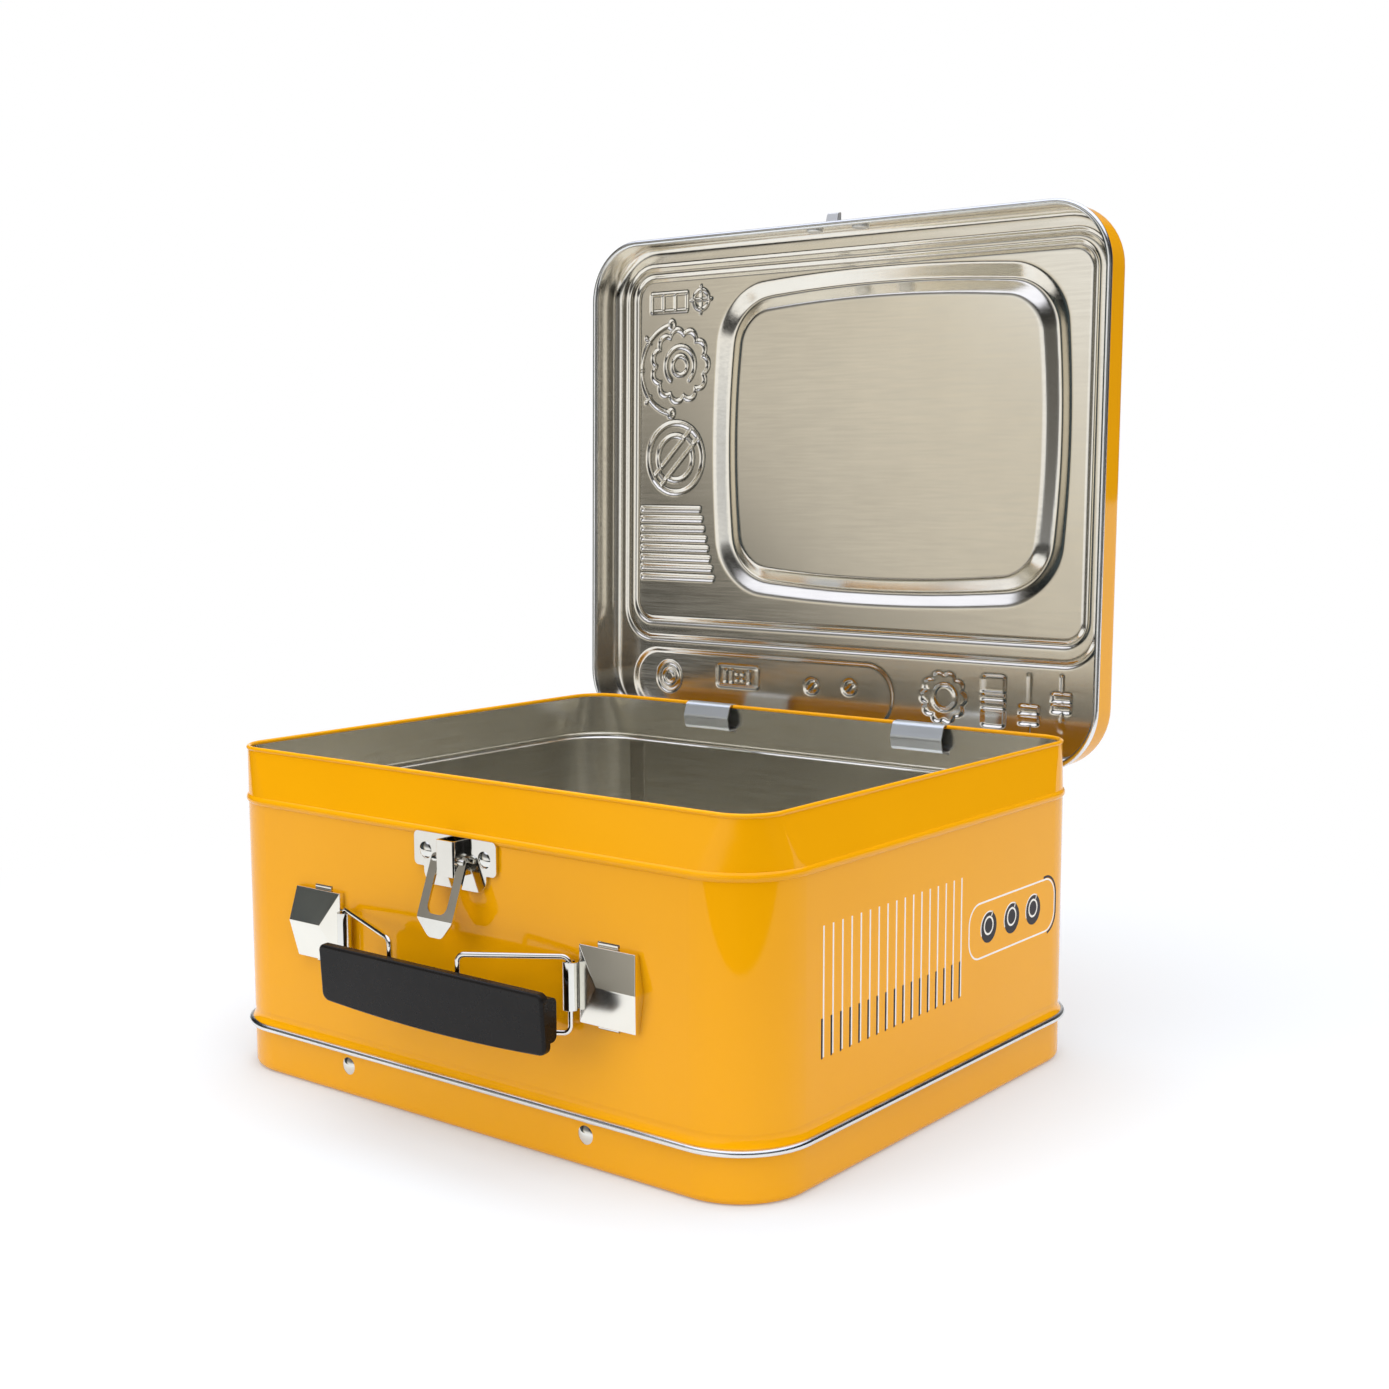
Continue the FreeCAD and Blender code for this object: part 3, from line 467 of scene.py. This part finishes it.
def lamps(u, v):
    """Row of small squares beside a cross-hair dial."""
    strokes = [segment_gap(u, v, LAMP_U + LAMP_PITCH * k, LAMP_V[0], LAMP_U + LAMP_PITCH * k, LAMP_V[1])
               for k in range(4)]
    strokes += [segment_gap(u, v, LAMP_U, y, LAMP_RIGHT, y) for y in LAMP_V]
    strokes.append(ring_gap(u, v, *CROSSHAIR, 3.6))
    lines = [groove(stroke, 1.4, 0.6) for stroke in strokes]
    cu, cv = CROSSHAIR
    for du, dv in ((5.0, 0), (0, 5.0)):
        lines.append(groove(segment_gap(u, v, cu - du, cv - dv, cu + du, cv + dv), 1.2, 0.5))
    return lines


def speaker_slots(u, v):
    lines = []
    for row in range(8):
        y = SLOT_TOP_V - row * SLOT_PITCH
        lines.append(groove(segment_gap(u, v, SLOT_LEFT, y, SLOT_RIGHT + row * SLOT_GROWTH, y), 2.5, 0.95))
    return lines


def on_strip(mark):
    """A mark that stands on the floor of a sunk pocket."""
    return np.where(mark > FAINT, STRIP_DEPTH + mark, 0)


def lower_strip(u, v):
    """Sunk pill with tuner, display and two small knobs; beside it a flower knob, a button block and
    two sliders."""
    lines = [sink(rect_gap(u, v, -96.2, 21.9, 7.0, 29.7, 11.0), 1.8, STRIP_DEPTH)]
    for radius, width in ((5.4, 2.0), (2.6, 1.6)):
        lines.append(on_strip(groove(ring_gap(u, v, *TUNER, radius), width, 0.7)))
    marks = [np.abs(rect_gap(u, v, -56.4, -37.6, 17.6, 25.6, 1.2))]
    marks += [segment_gap(u, v, x, 19.4, x, 23.8) for x in (-52.6, -49.8, -41.6)]
    marks += [ring_gap(u, v, x, y, 0) for x in (-47.2, -44.6) for y in (20.4, 22.8)]
    marks += [np.abs(ring_gap(u, v, *knob, 2.6)) for knob in SMALL_KNOBS]
    marks.append(segment_gap(u, v, -15.2, 18.2, -11.2, 22.2))
    marks.append(segment_gap(u, v, 1.9, 19.6, 4.7, 22.4))
    lines.append(on_strip(groove(np.minimum.reduce(marks), 1.5, 0.5)))
    lines.append(sink(flower_gap(u, v, *STRIP_FLOWER, 8.9, 10, 1.6), 1.3, STRIP_DEPTH))
    lines.append(on_strip(groove(ring_gap(u, v, *STRIP_FLOWER, 4.4), 1.5, 0.6)))
    block = sink(rect_gap(u, v, 58.1, 66.6, 11.8, 29.2, 1.3), 1.2, STRIP_DEPTH)
    for y in (23.2, 20.5, 17.5):
        block = block * (1 - groove(v - y, 1.3, 0.85))
    lines.append(block)
    for x, low, high, knob_v in SLIDERS:
        lines.append(groove(segment_gap(u, v, x, low, x, high), 1.5, 0.6))
        knob = sink(rect_gap(u, v, x - 3.4, x + 3.4, knob_v - 3.1, knob_v + 3.1, 0.6), 1.1, 0.9)
        lines.append(knob * (1 - groove(v - knob_v, 1.7, 0.9)))
    return lines


def lid_relief(u, v):
    """Outward height of the pressing at a point of the panel, in millimetres."""
    lines = []
    for group in (borders, selector, barred_dial, lamps, speaker_slots, lower_strip):
        lines += group(u, v)
    return screen_relief(u, v) + np.maximum.reduce(lines)


def spaced(start, stop, step):
    return np.linspace(start, stop, max(2, int(round(abs(stop - start) / step)) + 1))


def joined(*runs):
    """Runs of numbers end to end, each shared end once."""
    return np.concatenate([runs[0]] + [run[1:] for run in runs[1:]])


DIAL_STEP = 0.40
PLAIN_STEP = 0.62
SCREEN_STEP = 0.50
STRIP_STEP = 0.42
DIALS_END_U = -56
SCREEN_END_V = 56
STRIP_END_V = 36


def lid_lines():
    """Grid lines of the core, across and front to rear, closest where the relief is finest."""
    half_u, half_y = CORE
    near, far = STRAP_SPAN
    u = joined(spaced(-half_u, DIALS_END_U, DIAL_STEP), spaced(DIALS_END_U, -far, PLAIN_STEP),
               spaced(-far, -near, PLAIN_STEP), spaced(-near, near, PLAIN_STEP),
               spaced(near, far, PLAIN_STEP), spaced(far, half_u, PLAIN_STEP))
    screen_end = REAR_Y - SCREEN_END_V - LID_MID_Y
    strip_end = REAR_Y - STRIP_END_V - LID_MID_Y
    y = joined(spaced(-half_y, screen_end, SCREEN_STEP), spaced(screen_end, strip_end, PLAIN_STEP),
               spaced(strip_end, half_y, STRIP_STEP))
    return u, y


CORNER_STEPS = 12
SKIRT_RINGS = (1.0, 2.8, STRAP_SLOT_W, 7.0, 9.2)
EDGE_TURNS = np.radians(np.linspace(0, 90, 9))
BRIM_STEP = 0.42


def lid_shell():
    """The lid as one pressed sheet: rings of spokes from the rim over the edge to the core, then a grid.
    Its inner face is bare tin and its outer face enamel."""
    u_lines, y_lines = lid_lines()
    cw, cd = CORE
    steps = CORNER_STEPS
    angle = np.radians(np.linspace(0, 90, steps + 2)[1:-1])
    spokes = []
    feet = []

    def side(base, heading):
        for point in base:
            feet.append(point)
            spokes.append(heading)

    def corner(base, start):
        for a in angle:
            feet.append(base)
            spokes.append((math.cos(start + a), math.sin(start + a)))

    side([(u, -cd) for u in u_lines], (0, -1))
    corner((cw, -cd), -math.pi / 2)
    side([(cw, y) for y in y_lines], (1, 0))
    corner((cw, cd), 0)
    side([(u, cd) for u in u_lines[::-1]], (0, 1))
    corner((-cw, cd), math.pi / 2)
    side([(-cw, y) for y in y_lines[::-1]], (-1, 0))
    corner((-cw, -cd), math.pi)
    feet = np.array(feet)
    spokes = np.array(spokes)
    count = len(feet)
    nu, ny = len(u_lines), len(y_lines)

    # index of the core-grid point that each spoke starts from
    core_index = list(range(nu))
    core_index += [nu - 1] * steps
    core_index += [j * nu + nu - 1 for j in range(ny)]
    core_index += [nu * ny - 1] * steps
    core_index += [(ny - 1) * nu + i for i in range(nu)[::-1]]
    core_index += [(ny - 1) * nu] * steps
    core_index += [j * nu for j in range(ny)[::-1]]
    core_index += [0] * steps
    core_index = np.array(core_index)

    def layer(offset, edge_radius, panel_w):
        """Points of one face of the sheet: rings from the rim to the core, then the core grid."""
        rings = []
        for w in SKIRT_RINGS:
            rings.append((offset, w))
        for a in EDGE_TURNS:
            rings.append((offset - edge_radius * (1 - math.cos(a)),
                          panel_w - edge_radius * (1 - math.sin(a))))
        edge = offset - edge_radius
        for n in spaced(edge, -BEAD_CORNER, BRIM_STEP)[1:-1]:
            rings.append((n, panel_w))
        points = []
        for n, w in rings:
            flat = feet + spokes * (BEAD_CORNER + n)
            u = flat[:, 0]
            v = REAR_Y - (flat[:, 1] + LID_MID_Y)
            height = np.full(count, w)
            if n < edge - 0.01:
                height = height + lid_relief(u, v)
            points.append(lid_points(u, v, height))
        uu, yy = np.meshgrid(u_lines, y_lines)
        uu = uu.ravel()
        vv = REAR_Y - (yy.ravel() + LID_MID_Y)
        points.append(lid_points(uu, vv, panel_w + lid_relief(uu, vv)))
        return np.concatenate(points), len(rings)

    inner, rings = layer(INNER_OFFSET, EDGE_R - SKIN, PANEL_W)
    outer, _ = layer(OUTER_OFFSET, EDGE_R, PANEL_W + SKIN)
    size = len(inner)
    nxt = (np.arange(count) + 1) % count
    # cells left open for the straps, in the first two rings of the rear (+y) side
    rear_start = nu + steps + ny + steps
    open_cell = np.zeros((rings, count), bool)
    for k in range(nu - 1):
        mid = (u_lines[::-1][k] + u_lines[::-1][k + 1]) / 2
        if STRAP_SPAN[0] < abs(mid) < STRAP_SPAN[1]:
            open_cell[0:2, rear_start + k] = True
    faces = []
    slots = []

    def quad(a, b, c, d, slot):
        """A face without the repeated points that the spokes of a corner give."""
        loop = [a, b, c, d]
        loop = [p for i, p in enumerate(loop) if p != loop[i - 1]]
        if len(loop) > 2:
            faces.append(loop)
            slots.append(slot)

    for shift, slot, flip in ((0, 1, False), (size, 0, True)):
        for i in range(rings - 1):
            for j in range(count):
                if open_cell[i, j]:
                    continue
                a, b = i * count + j, i * count + nxt[j]
                c, d = b + count, a + count
                loop = (a, b, c, d) if flip else (d, c, b, a)
                quad(*[p + shift for p in loop], slot)
        last = (rings - 1) * count
        start = rings * count
        for j in range(count):
            a, b = last + j, last + nxt[j]
            c, d = start + core_index[nxt[j]], start + core_index[j]
            loop = (a, b, c, d) if flip else (d, c, b, a)
            quad(*[p + shift for p in loop], slot)
        for j in range(ny - 1):
            for i in range(nu - 1):
                a = start + j * nu + i
                loop = (a, a + 1, a + nu + 1, a + nu) if flip else (a + nu, a + nu + 1, a + 1, a)
                quad(*[p + shift for p in loop], slot)
    for j in range(count):
        if not open_cell[0, j]:
            quad(j, nxt[j], nxt[j] + size, j + size, 0)
    for j in range(count):
        if open_cell[0, j]:
            a, b = 2 * count + j, 2 * count + nxt[j]
            quad(a, b, b + size, a + size, 0)
            if not open_cell[0, (j - 1) % count]:
                for i in range(2):
                    a, b = i * count + j, (i + 1) * count + j
                    quad(a, b, b + size, a + size, 0)
            if not open_cell[0, nxt[j]]:
                for i in range(2):
                    a, b = i * count + nxt[j], (i + 1) * count + nxt[j]
                    quad(a, a + size, b + size, b, 0)
    piece = mesh_object("lid_pressing", np.concatenate([inner, outer]), faces, [PAINT, TIN], slots)
    stand_for(piece, "lid", "lid_pan")


lid_shell()

# ------------------------------------------------------------------ small parts
refined("latch_plate", "latch_bracket", NICKEL, 0.00012)
refined("latch_clasp", "latch_loop", NICKEL, 0.00014)
refined("lid_catch_plate", "catch_plate", CATCH_NICKEL, 0.00035, 3)
for side_name in ("left", "right"):
    refined("handle_cap_" + side_name, "cap_" + side_name, CAP_NICKEL_LIT, 0.00030, 3, 12)
    refined("handle_bracket_" + side_name, "bracket_" + side_name, NICKEL, 0.00008)
    repaint("hinge_strap_" + side_name, STRAP_STEEL)
    repaint("handle_link_" + side_name, NICKEL)
refined("grip_back", "grip_rear_half", BLACK_PLASTIC, 0.00030, 3)
repaint("grip_front", BLACK_PLASTIC)
repaint("base_seam_bead", BRIGHT_TIN)
repaint("lid_rim_bead", BRIGHT_TIN)
for rivets in ("base_rivets", "latch_rivets", "lid_catch_rivets"):
    repaint(rivets, NICKEL)

# ------------------------------------------------------------------ clinched rivet tails inside the lid
# closed-lid millimetres; the profile is (radius, distance from the skirt)
TAIL_U = (-9.0, 10.0)
TAIL_V = 182.95
TAIL_W = 6.6
TAIL_PROFILE = ((3.0, 0.0), (3.0, 0.7), (2.8, 1.1), (2.3, 1.35), (1.2, 1.5))
TAIL_SIDES = 28


def rivet_tails():
    """Two low buttons on the inner face of the front skirt."""
    turns = np.radians(np.arange(TAIL_SIDES) * 360 / TAIL_SIDES)
    points = []
    faces = []
    for u in TAIL_U:
        start = len(points)
        for reach, out in TAIL_PROFILE:
            points += list(lid_points(u + reach * np.cos(turns), np.full(TAIL_SIDES, TAIL_V - out),
                                      TAIL_W + reach * np.sin(turns)))
        top = start + (len(TAIL_PROFILE) - 1) * TAIL_SIDES
        for a in range(start, top, TAIL_SIDES):
            for i in range(TAIL_SIDES):
                j = (i + 1) % TAIL_SIDES
                faces.append([a + i, a + j, a + TAIL_SIDES + j, a + TAIL_SIDES + i])
        faces.append([top + i for i in range(TAIL_SIDES)])
    piece = mesh_object("catch_rivet_tails", points, faces, [CATCH_NICKEL])
    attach(piece, "lid")


rivet_tails()

# ------------------------------------------------------------------ printing on the right wall
# millimetres; a film reaches from just under the paint to its own height, and the later coats stand higher
WALL_X = 104.97
FIRST_COAT = 105.035
SECOND_COAT = 105.045
TOP_COAT = 105.05


def prisms(name, loops, material, top=FIRST_COAT):
    """Thin ink films on the right wall, from closed (y, z) outlines."""
    points = []
    faces = []
    for loop in loops:
        start = len(points)
        n = len(loop)
        for x in (WALL_X, top):
            points += [(x * MM, y * MM, z * MM) for y, z in loop]
        faces.append([start + n + i for i in range(n)])
        faces.append([start + i for i in range(n)][::-1])
        for i in range(n):
            j = (i + 1) % n
            faces.append([start + i, start + j, start + n + j, start + n + i])
    piece = mesh_object(name, points, faces, [material], smooth=False)
    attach(piece, "body")


def bar_loop(y0, y1, z0, z1):
    return [(y0, z0), (y1, z0), (y1, z1), (y0, z1)]


def disc_loop(cy, cz, radius, n=40):
    return [(cy + radius * math.cos(2 * math.pi * i / n), cz + radius * math.sin(2 * math.pi * i / n))
            for i in range(n)]


def band_loops(path, width):
    """Quads along a path of (y, z) points."""
    loops = []
    for (y0, z0), (y1, z1) in zip(path, path[1:]):
        run = math.hypot(y1 - y0, z1 - z0)
        ny = -(z1 - z0) / run * width / 2
        nz = (y1 - y0) / run * width / 2
        loops.append([(y0 + ny, z0 + nz), (y0 - ny, z0 - nz), (y1 - ny, z1 - nz), (y1 + ny, z1 + nz)])
    return loops


def arc_path(cy, cz, radius, start, stop, n=24):
    turns = np.radians(np.linspace(start, stop, n + 1))
    return [(cy + radius * math.cos(t), cz + radius * math.sin(t)) for t in turns]


def pill_path(y0, y1, z0, z1, radius):
    """Closed outline of a rounded rectangle."""
    path = []
    for cy, cz, start in ((y1 - radius, z1 - radius, 0), (y0 + radius, z1 - radius, 90),
                          (y0 + radius, z0 + radius, 180), (y1 - radius, z0 + radius, 270)):
        path += arc_path(cy, cz, radius, start, start + 90, 10)
    return path + path[:1]


VENT_COUNT = 17
VENT_FIRST_Y = -60.6
VENT_PITCH = 70.9 / 16
VENT_Z = (35.0, 70.2)
VENT_SHADOW_Z = (34.6, 45.5)
VENT_Y = [VENT_FIRST_Y + k * VENT_PITCH for k in range(VENT_COUNT)]
prisms("vent_lines", [bar_loop(y, y + 0.62, *VENT_Z) for y in VENT_Y], WHITE_INK)
prisms("vent_shadows", [bar_loop(y - 0.75, y + 0.02, *VENT_SHADOW_Z) for y in VENT_Y], DARK_INK)
prisms("panel_outline", band_loops(pill_path(15.2, 68.6, 43.9, 60.5, 6.0), 0.55), WHITE_INK)
shade = arc_path(62.9, 54.8, 6.5, 105, 0, 12) + arc_path(62.9, 49.6, 6.5, 0, -80, 12)
prisms("panel_shadow", band_loops(shade, 0.75), DARK_INK)
KNOB_Y = (26.9, 41.0, 54.6)
KNOB_Z = 52.6
prisms("knob_discs", [disc_loop(y, KNOB_Z - 0.2, 4.7) for y in KNOB_Y], DARK_INK)
knob_rings = []
glints = []
for y in KNOB_Y:
    knob_rings += band_loops(arc_path(y - 0.1, KNOB_Z + 0.3, 2.6, 0, 360, 30), 0.62)
    glints += band_loops(arc_path(y, KNOB_Z - 0.2, 4.75, 60, 205, 18), 0.4)
    glints += band_loops([(y + 1.5, KNOB_Z + 2.9), (y + 2.3, KNOB_Z + 4.3)], 0.45)
prisms("knob_rings", knob_rings, WHITE_INK, TOP_COAT)
prisms("knob_glints", glints, WHITE_INK, SECOND_COAT)

# ------------------------------------------------------------------ lapped side seam inside the rear wall
# millimetres; the profile is (x, height of the lap over the wall)
SEAM_PROFILE = ((-86.2, 0.0), (-86.0, 0.35), (-85.4, 0.5), (-80.0, 0.5), (-79.4, 0.35), (-79.2, 0.0))
SEAM_Z = (17.5, 84.0)
SEAM_WALL_Y = 88.92


def lapped_seam():
    points = [(x * MM, (SEAM_WALL_Y - lap) * MM, z * MM) for z in SEAM_Z for x, lap in SEAM_PROFILE]
    n = len(SEAM_PROFILE)
    faces = [[i, i + 1, n + i + 1, n + i] for i in range(n - 1)]
    faces.append(list(range(n))[::-1])
    faces.append([n + i for i in range(n)])
    faces.append([0, n, 2 * n - 1, n - 1])
    seam = mesh_object("lapped_seam", points, faces, [TIN], smooth=False)
    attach(seam, "body")


lapped_seam()

# ------------------------------------------------------------------ stage, light and camera
# metres; the floor is measured toward the camera and across the view
FLOOR_EDGE = 0.345
FLOOR_LEFT = -0.70
FLOOR_REACH = 9.0
# share of the floor's own glow near the box: painted light that lightens the floor's shadow
FLOOR_GLOW = 0.22
GLOW_FROM = 0.20
GLOW_FULL = 0.42
CAMERA_TURN = math.radians(38.18)


def paper_floor():
    """A pale sweep that stops short of the camera and to the left, lit by the lamps near the box with a weak
    glow of its own that lightens its shadow there, and self-lit further out."""
    toward = Vector((math.sin(CAMERA_TURN), -math.cos(CAMERA_TURN), 0))
    across = Vector((math.cos(CAMERA_TURN), math.sin(CAMERA_TURN), 0))
    points = []
    for near in (FLOOR_EDGE, -FLOOR_REACH):
        for wide in (FLOOR_LEFT, FLOOR_REACH):
            points.append(toward * near + across * wide)
    sheet = mesh_object("floor", points, [(0, 1, 3, 2)], [], smooth=False)
    material, tree, bsdf = new_material("pale_paper")
    tone = spread(tree, noise(tree, 3, 2), 0, 1)
    colour = two_tone(tree, tone, (0.70, 0.725, 0.725), (0.685, 0.71, 0.71))
    tree.links.new(colour, bsdf.inputs["Base Color"])
    bsdf.inputs["Roughness"].default_value = 0.9
    bsdf.inputs["Specular IOR Level"].default_value = 0.0
    coords = add(tree, "ShaderNodeTexCoord")
    reach = add(tree, "ShaderNodeVectorMath", operation="LENGTH")
    tree.links.new(coords.outputs["Object"], reach.inputs[0])
    fade = add(tree, "ShaderNodeMapRange", interpolation_type="SMOOTHSTEP")
    fade.inputs["From Min"].default_value = GLOW_FROM
    fade.inputs["From Max"].default_value = GLOW_FULL
    fade.inputs["To Min"].default_value = FLOOR_GLOW
    tree.links.new(reach.outputs["Value"], fade.inputs["Value"])
    glow = add(tree, "ShaderNodeEmission")
    glow.inputs["Strength"].default_value = 1.0
    mixed = add(tree, "ShaderNodeMixShader")
    tree.links.new(fade.outputs["Result"], mixed.inputs["Fac"])
    tree.links.new(bsdf.outputs["BSDF"], mixed.inputs[1])
    tree.links.new(glow.outputs["Emission"], mixed.inputs[2])
    tree.links.new(mixed.outputs["Shader"], tree.nodes["Material Output"].inputs["Surface"])
    sheet.data.materials.append(material)


paper_floor()


# (degrees, grey) or (degrees, red, green, blue); a turn is from the front toward the right, and the band's
# pattern leans with height
BAND_SLANT = 0.9
ELEVATION_STOPS = ((-90, 0.04), (-9, 0.05), (-6, 0.7), (-4, 1.0), (9, 1.0), (15, 0.52), (22, 0.26),
                   (36, 0.14), (44, 1.15, 1.20, 1.40), (90, 1.35, 1.40, 1.55))
BAND_STOPS = ((-180, 0.20), (-150, 1.0), (-140, 5.0), (-122, 5.0), (-112, 1.0), (-98, 0.12),
              (-60, 0.07, 0.09, 0.10), (-44, 0.05, 0.055, 0.055), (-40, 0.09, 0.085, 0.075),
              (-37, 0.27, 0.26, 0.23), (-32, 0.67, 0.63, 0.56), (-24, 0.78, 0.74, 0.65),
              (-18, 1.06, 1.10, 1.19), (0, 1.14, 1.18, 1.28), (20, 1.06, 1.10, 1.19),
              (29, 0.22), (80, 0.20), (105, 0.06), (165, 0.06), (180, 0.20))
BAND_MASK_STOPS = ((-90, 1.0), (30, 1.0), (42, 0.0), (90, 0.0))


def studio_world():
    """Plain white to the camera. Everything else sees a band at the horizon, dim above it, and a light
    ceiling. The band is light in front, dark to the front left, dim to the right and the rear, and
    brightest at the rear left."""
    world = bpy.data.worlds.new("studio")
    bpy.context.scene.world = world
    world.use_nodes = True
    tree = world.node_tree
    tree.nodes.clear()
    coords = add(tree, "ShaderNodeTexCoord")
    split = add(tree, "ShaderNodeSeparateXYZ")
    tree.links.new(coords.outputs["Generated"], split.inputs["Vector"])

    def ramp(value, low, high, stops, smoothing="EASE"):
        scaled = add(tree, "ShaderNodeMapRange")
        scaled.inputs["From Min"].default_value = low
        scaled.inputs["From Max"].default_value = high
        tree.links.new(value, scaled.inputs["Value"])
        node = add(tree, "ShaderNodeValToRGB")
        node.color_ramp.interpolation = smoothing
        stripes = node.color_ramp.elements
        while len(stripes) < len(stops):
            stripes.new(0.5)
        for stripe, (at, *tint) in zip(stripes, stops):
            stripe.position = (at - low) / (high - low)
            stripe.color = (*(tint * 3)[:3], 1)
        tree.links.new(scaled.outputs["Result"], node.inputs["Fac"])
        return node.outputs["Color"]

    def math_node(operation, *values):
        node = add(tree, "ShaderNodeMath", operation=operation)
        for socket, value in zip(node.inputs, values):
            if isinstance(value, (int, float)):
                socket.default_value = value
            else:
                tree.links.new(value, socket)
        return node.outputs[0]

    height = math_node("MULTIPLY", math_node("ARCSINE", split.outputs["Z"]), 180 / math.pi)
    turn = math_node("ARCTAN2", split.outputs["X"], math_node("MULTIPLY", split.outputs["Y"], -1))
    turn = math_node("MULTIPLY", turn, 180 / math.pi)
    slanted = math_node("MULTIPLY_ADD", height, BAND_SLANT, turn)
    by_height = ramp(height, -90, 90, ELEVATION_STOPS)
    by_turn = ramp(slanted, -180, 180, BAND_STOPS, "CARDINAL")
    low_only = ramp(height, -90, 90, BAND_MASK_STOPS)
    blend = add(tree, "ShaderNodeMix", data_type="RGBA")
    tree.links.new(low_only, blend.inputs["Factor"])
    blend.inputs["A"].default_value = (1, 1, 1, 1)
    tree.links.new(by_turn, blend.inputs["B"])
    product = add(tree, "ShaderNodeMix", data_type="RGBA", blend_type="MULTIPLY")
    product.inputs["Factor"].default_value = 1.0
    tree.links.new(by_height, product.inputs["A"])
    tree.links.new(blend.outputs["Result"], product.inputs["B"])
    studio = add(tree, "ShaderNodeBackground")
    tree.links.new(product.outputs["Result"], studio.inputs["Color"])
    paper = add(tree, "ShaderNodeBackground")
    paper.inputs["Color"].default_value = (1, 1, 1, 1)
    path = add(tree, "ShaderNodeLightPath")
    pick = add(tree, "ShaderNodeMixShader")
    tree.links.new(path.outputs["Is Camera Ray"], pick.inputs["Fac"])
    tree.links.new(studio.outputs["Background"], pick.inputs[1])
    tree.links.new(paper.outputs["Background"], pick.inputs[2])
    output = add(tree, "ShaderNodeOutputWorld")
    tree.links.new(pick.outputs["Shader"], output.inputs["Surface"])


studio_world()


def soft_light(name, location, target, size, energy):
    """A square lamp that lights the object but isn't mirrored in it."""
    data = bpy.data.lights.new(name, "AREA")
    data.shape = "SQUARE"
    data.size = size
    data.energy = energy
    lamp = bpy.data.objects.new(name, data)
    bpy.context.scene.collection.objects.link(lamp)
    lamp.location = location
    lamp.rotation_euler = (Vector(target) - Vector(location)).to_track_quat("-Z", "Y").to_euler()
    lamp.visible_glossy = False


soft_light("ceiling", (0.0, 0.0, 2.2), (0, 0, 0), 2.4, 36)
soft_light("front_left", (-1.0, -1.8, 0.9), (0, 0, 0.1), 1.4, 15.5)
soft_light("front_right", (1.8, -0.6, 0.9), (0, 0, 0.1), 1.4, 16)

CAMERA_AT = (0.3675, -0.4481, 0.1875)
CAMERA_TILT = math.radians(6.94)
CAMERA_ROLL = math.radians(-0.17)
CAMERA_LENS = 47.78


def place_camera():
    data = bpy.data.cameras.new("camera")
    data.sensor_width = 36
    data.lens = CAMERA_LENS
    data.clip_start = 0.01
    camera = bpy.data.objects.new("camera", data)
    bpy.context.scene.collection.objects.link(camera)
    back = Vector((math.sin(CAMERA_TURN) * math.cos(CAMERA_TILT),
                   -math.cos(CAMERA_TURN) * math.cos(CAMERA_TILT), math.sin(CAMERA_TILT)))
    right = (-back).cross(Vector((0, 0, 1))).normalized()
    up = right.cross(-back)
    right_rolled = right * math.cos(CAMERA_ROLL) + up * math.sin(CAMERA_ROLL)
    up_rolled = up * math.cos(CAMERA_ROLL) - right * math.sin(CAMERA_ROLL)
    turn = Matrix((right_rolled, up_rolled, back)).transposed().to_4x4()
    camera.matrix_world = Matrix.Translation(CAMERA_AT) @ turn
    bpy.context.scene.camera = camera
    bpy.context.scene.view_settings.view_transform = "Standard"


place_camera()
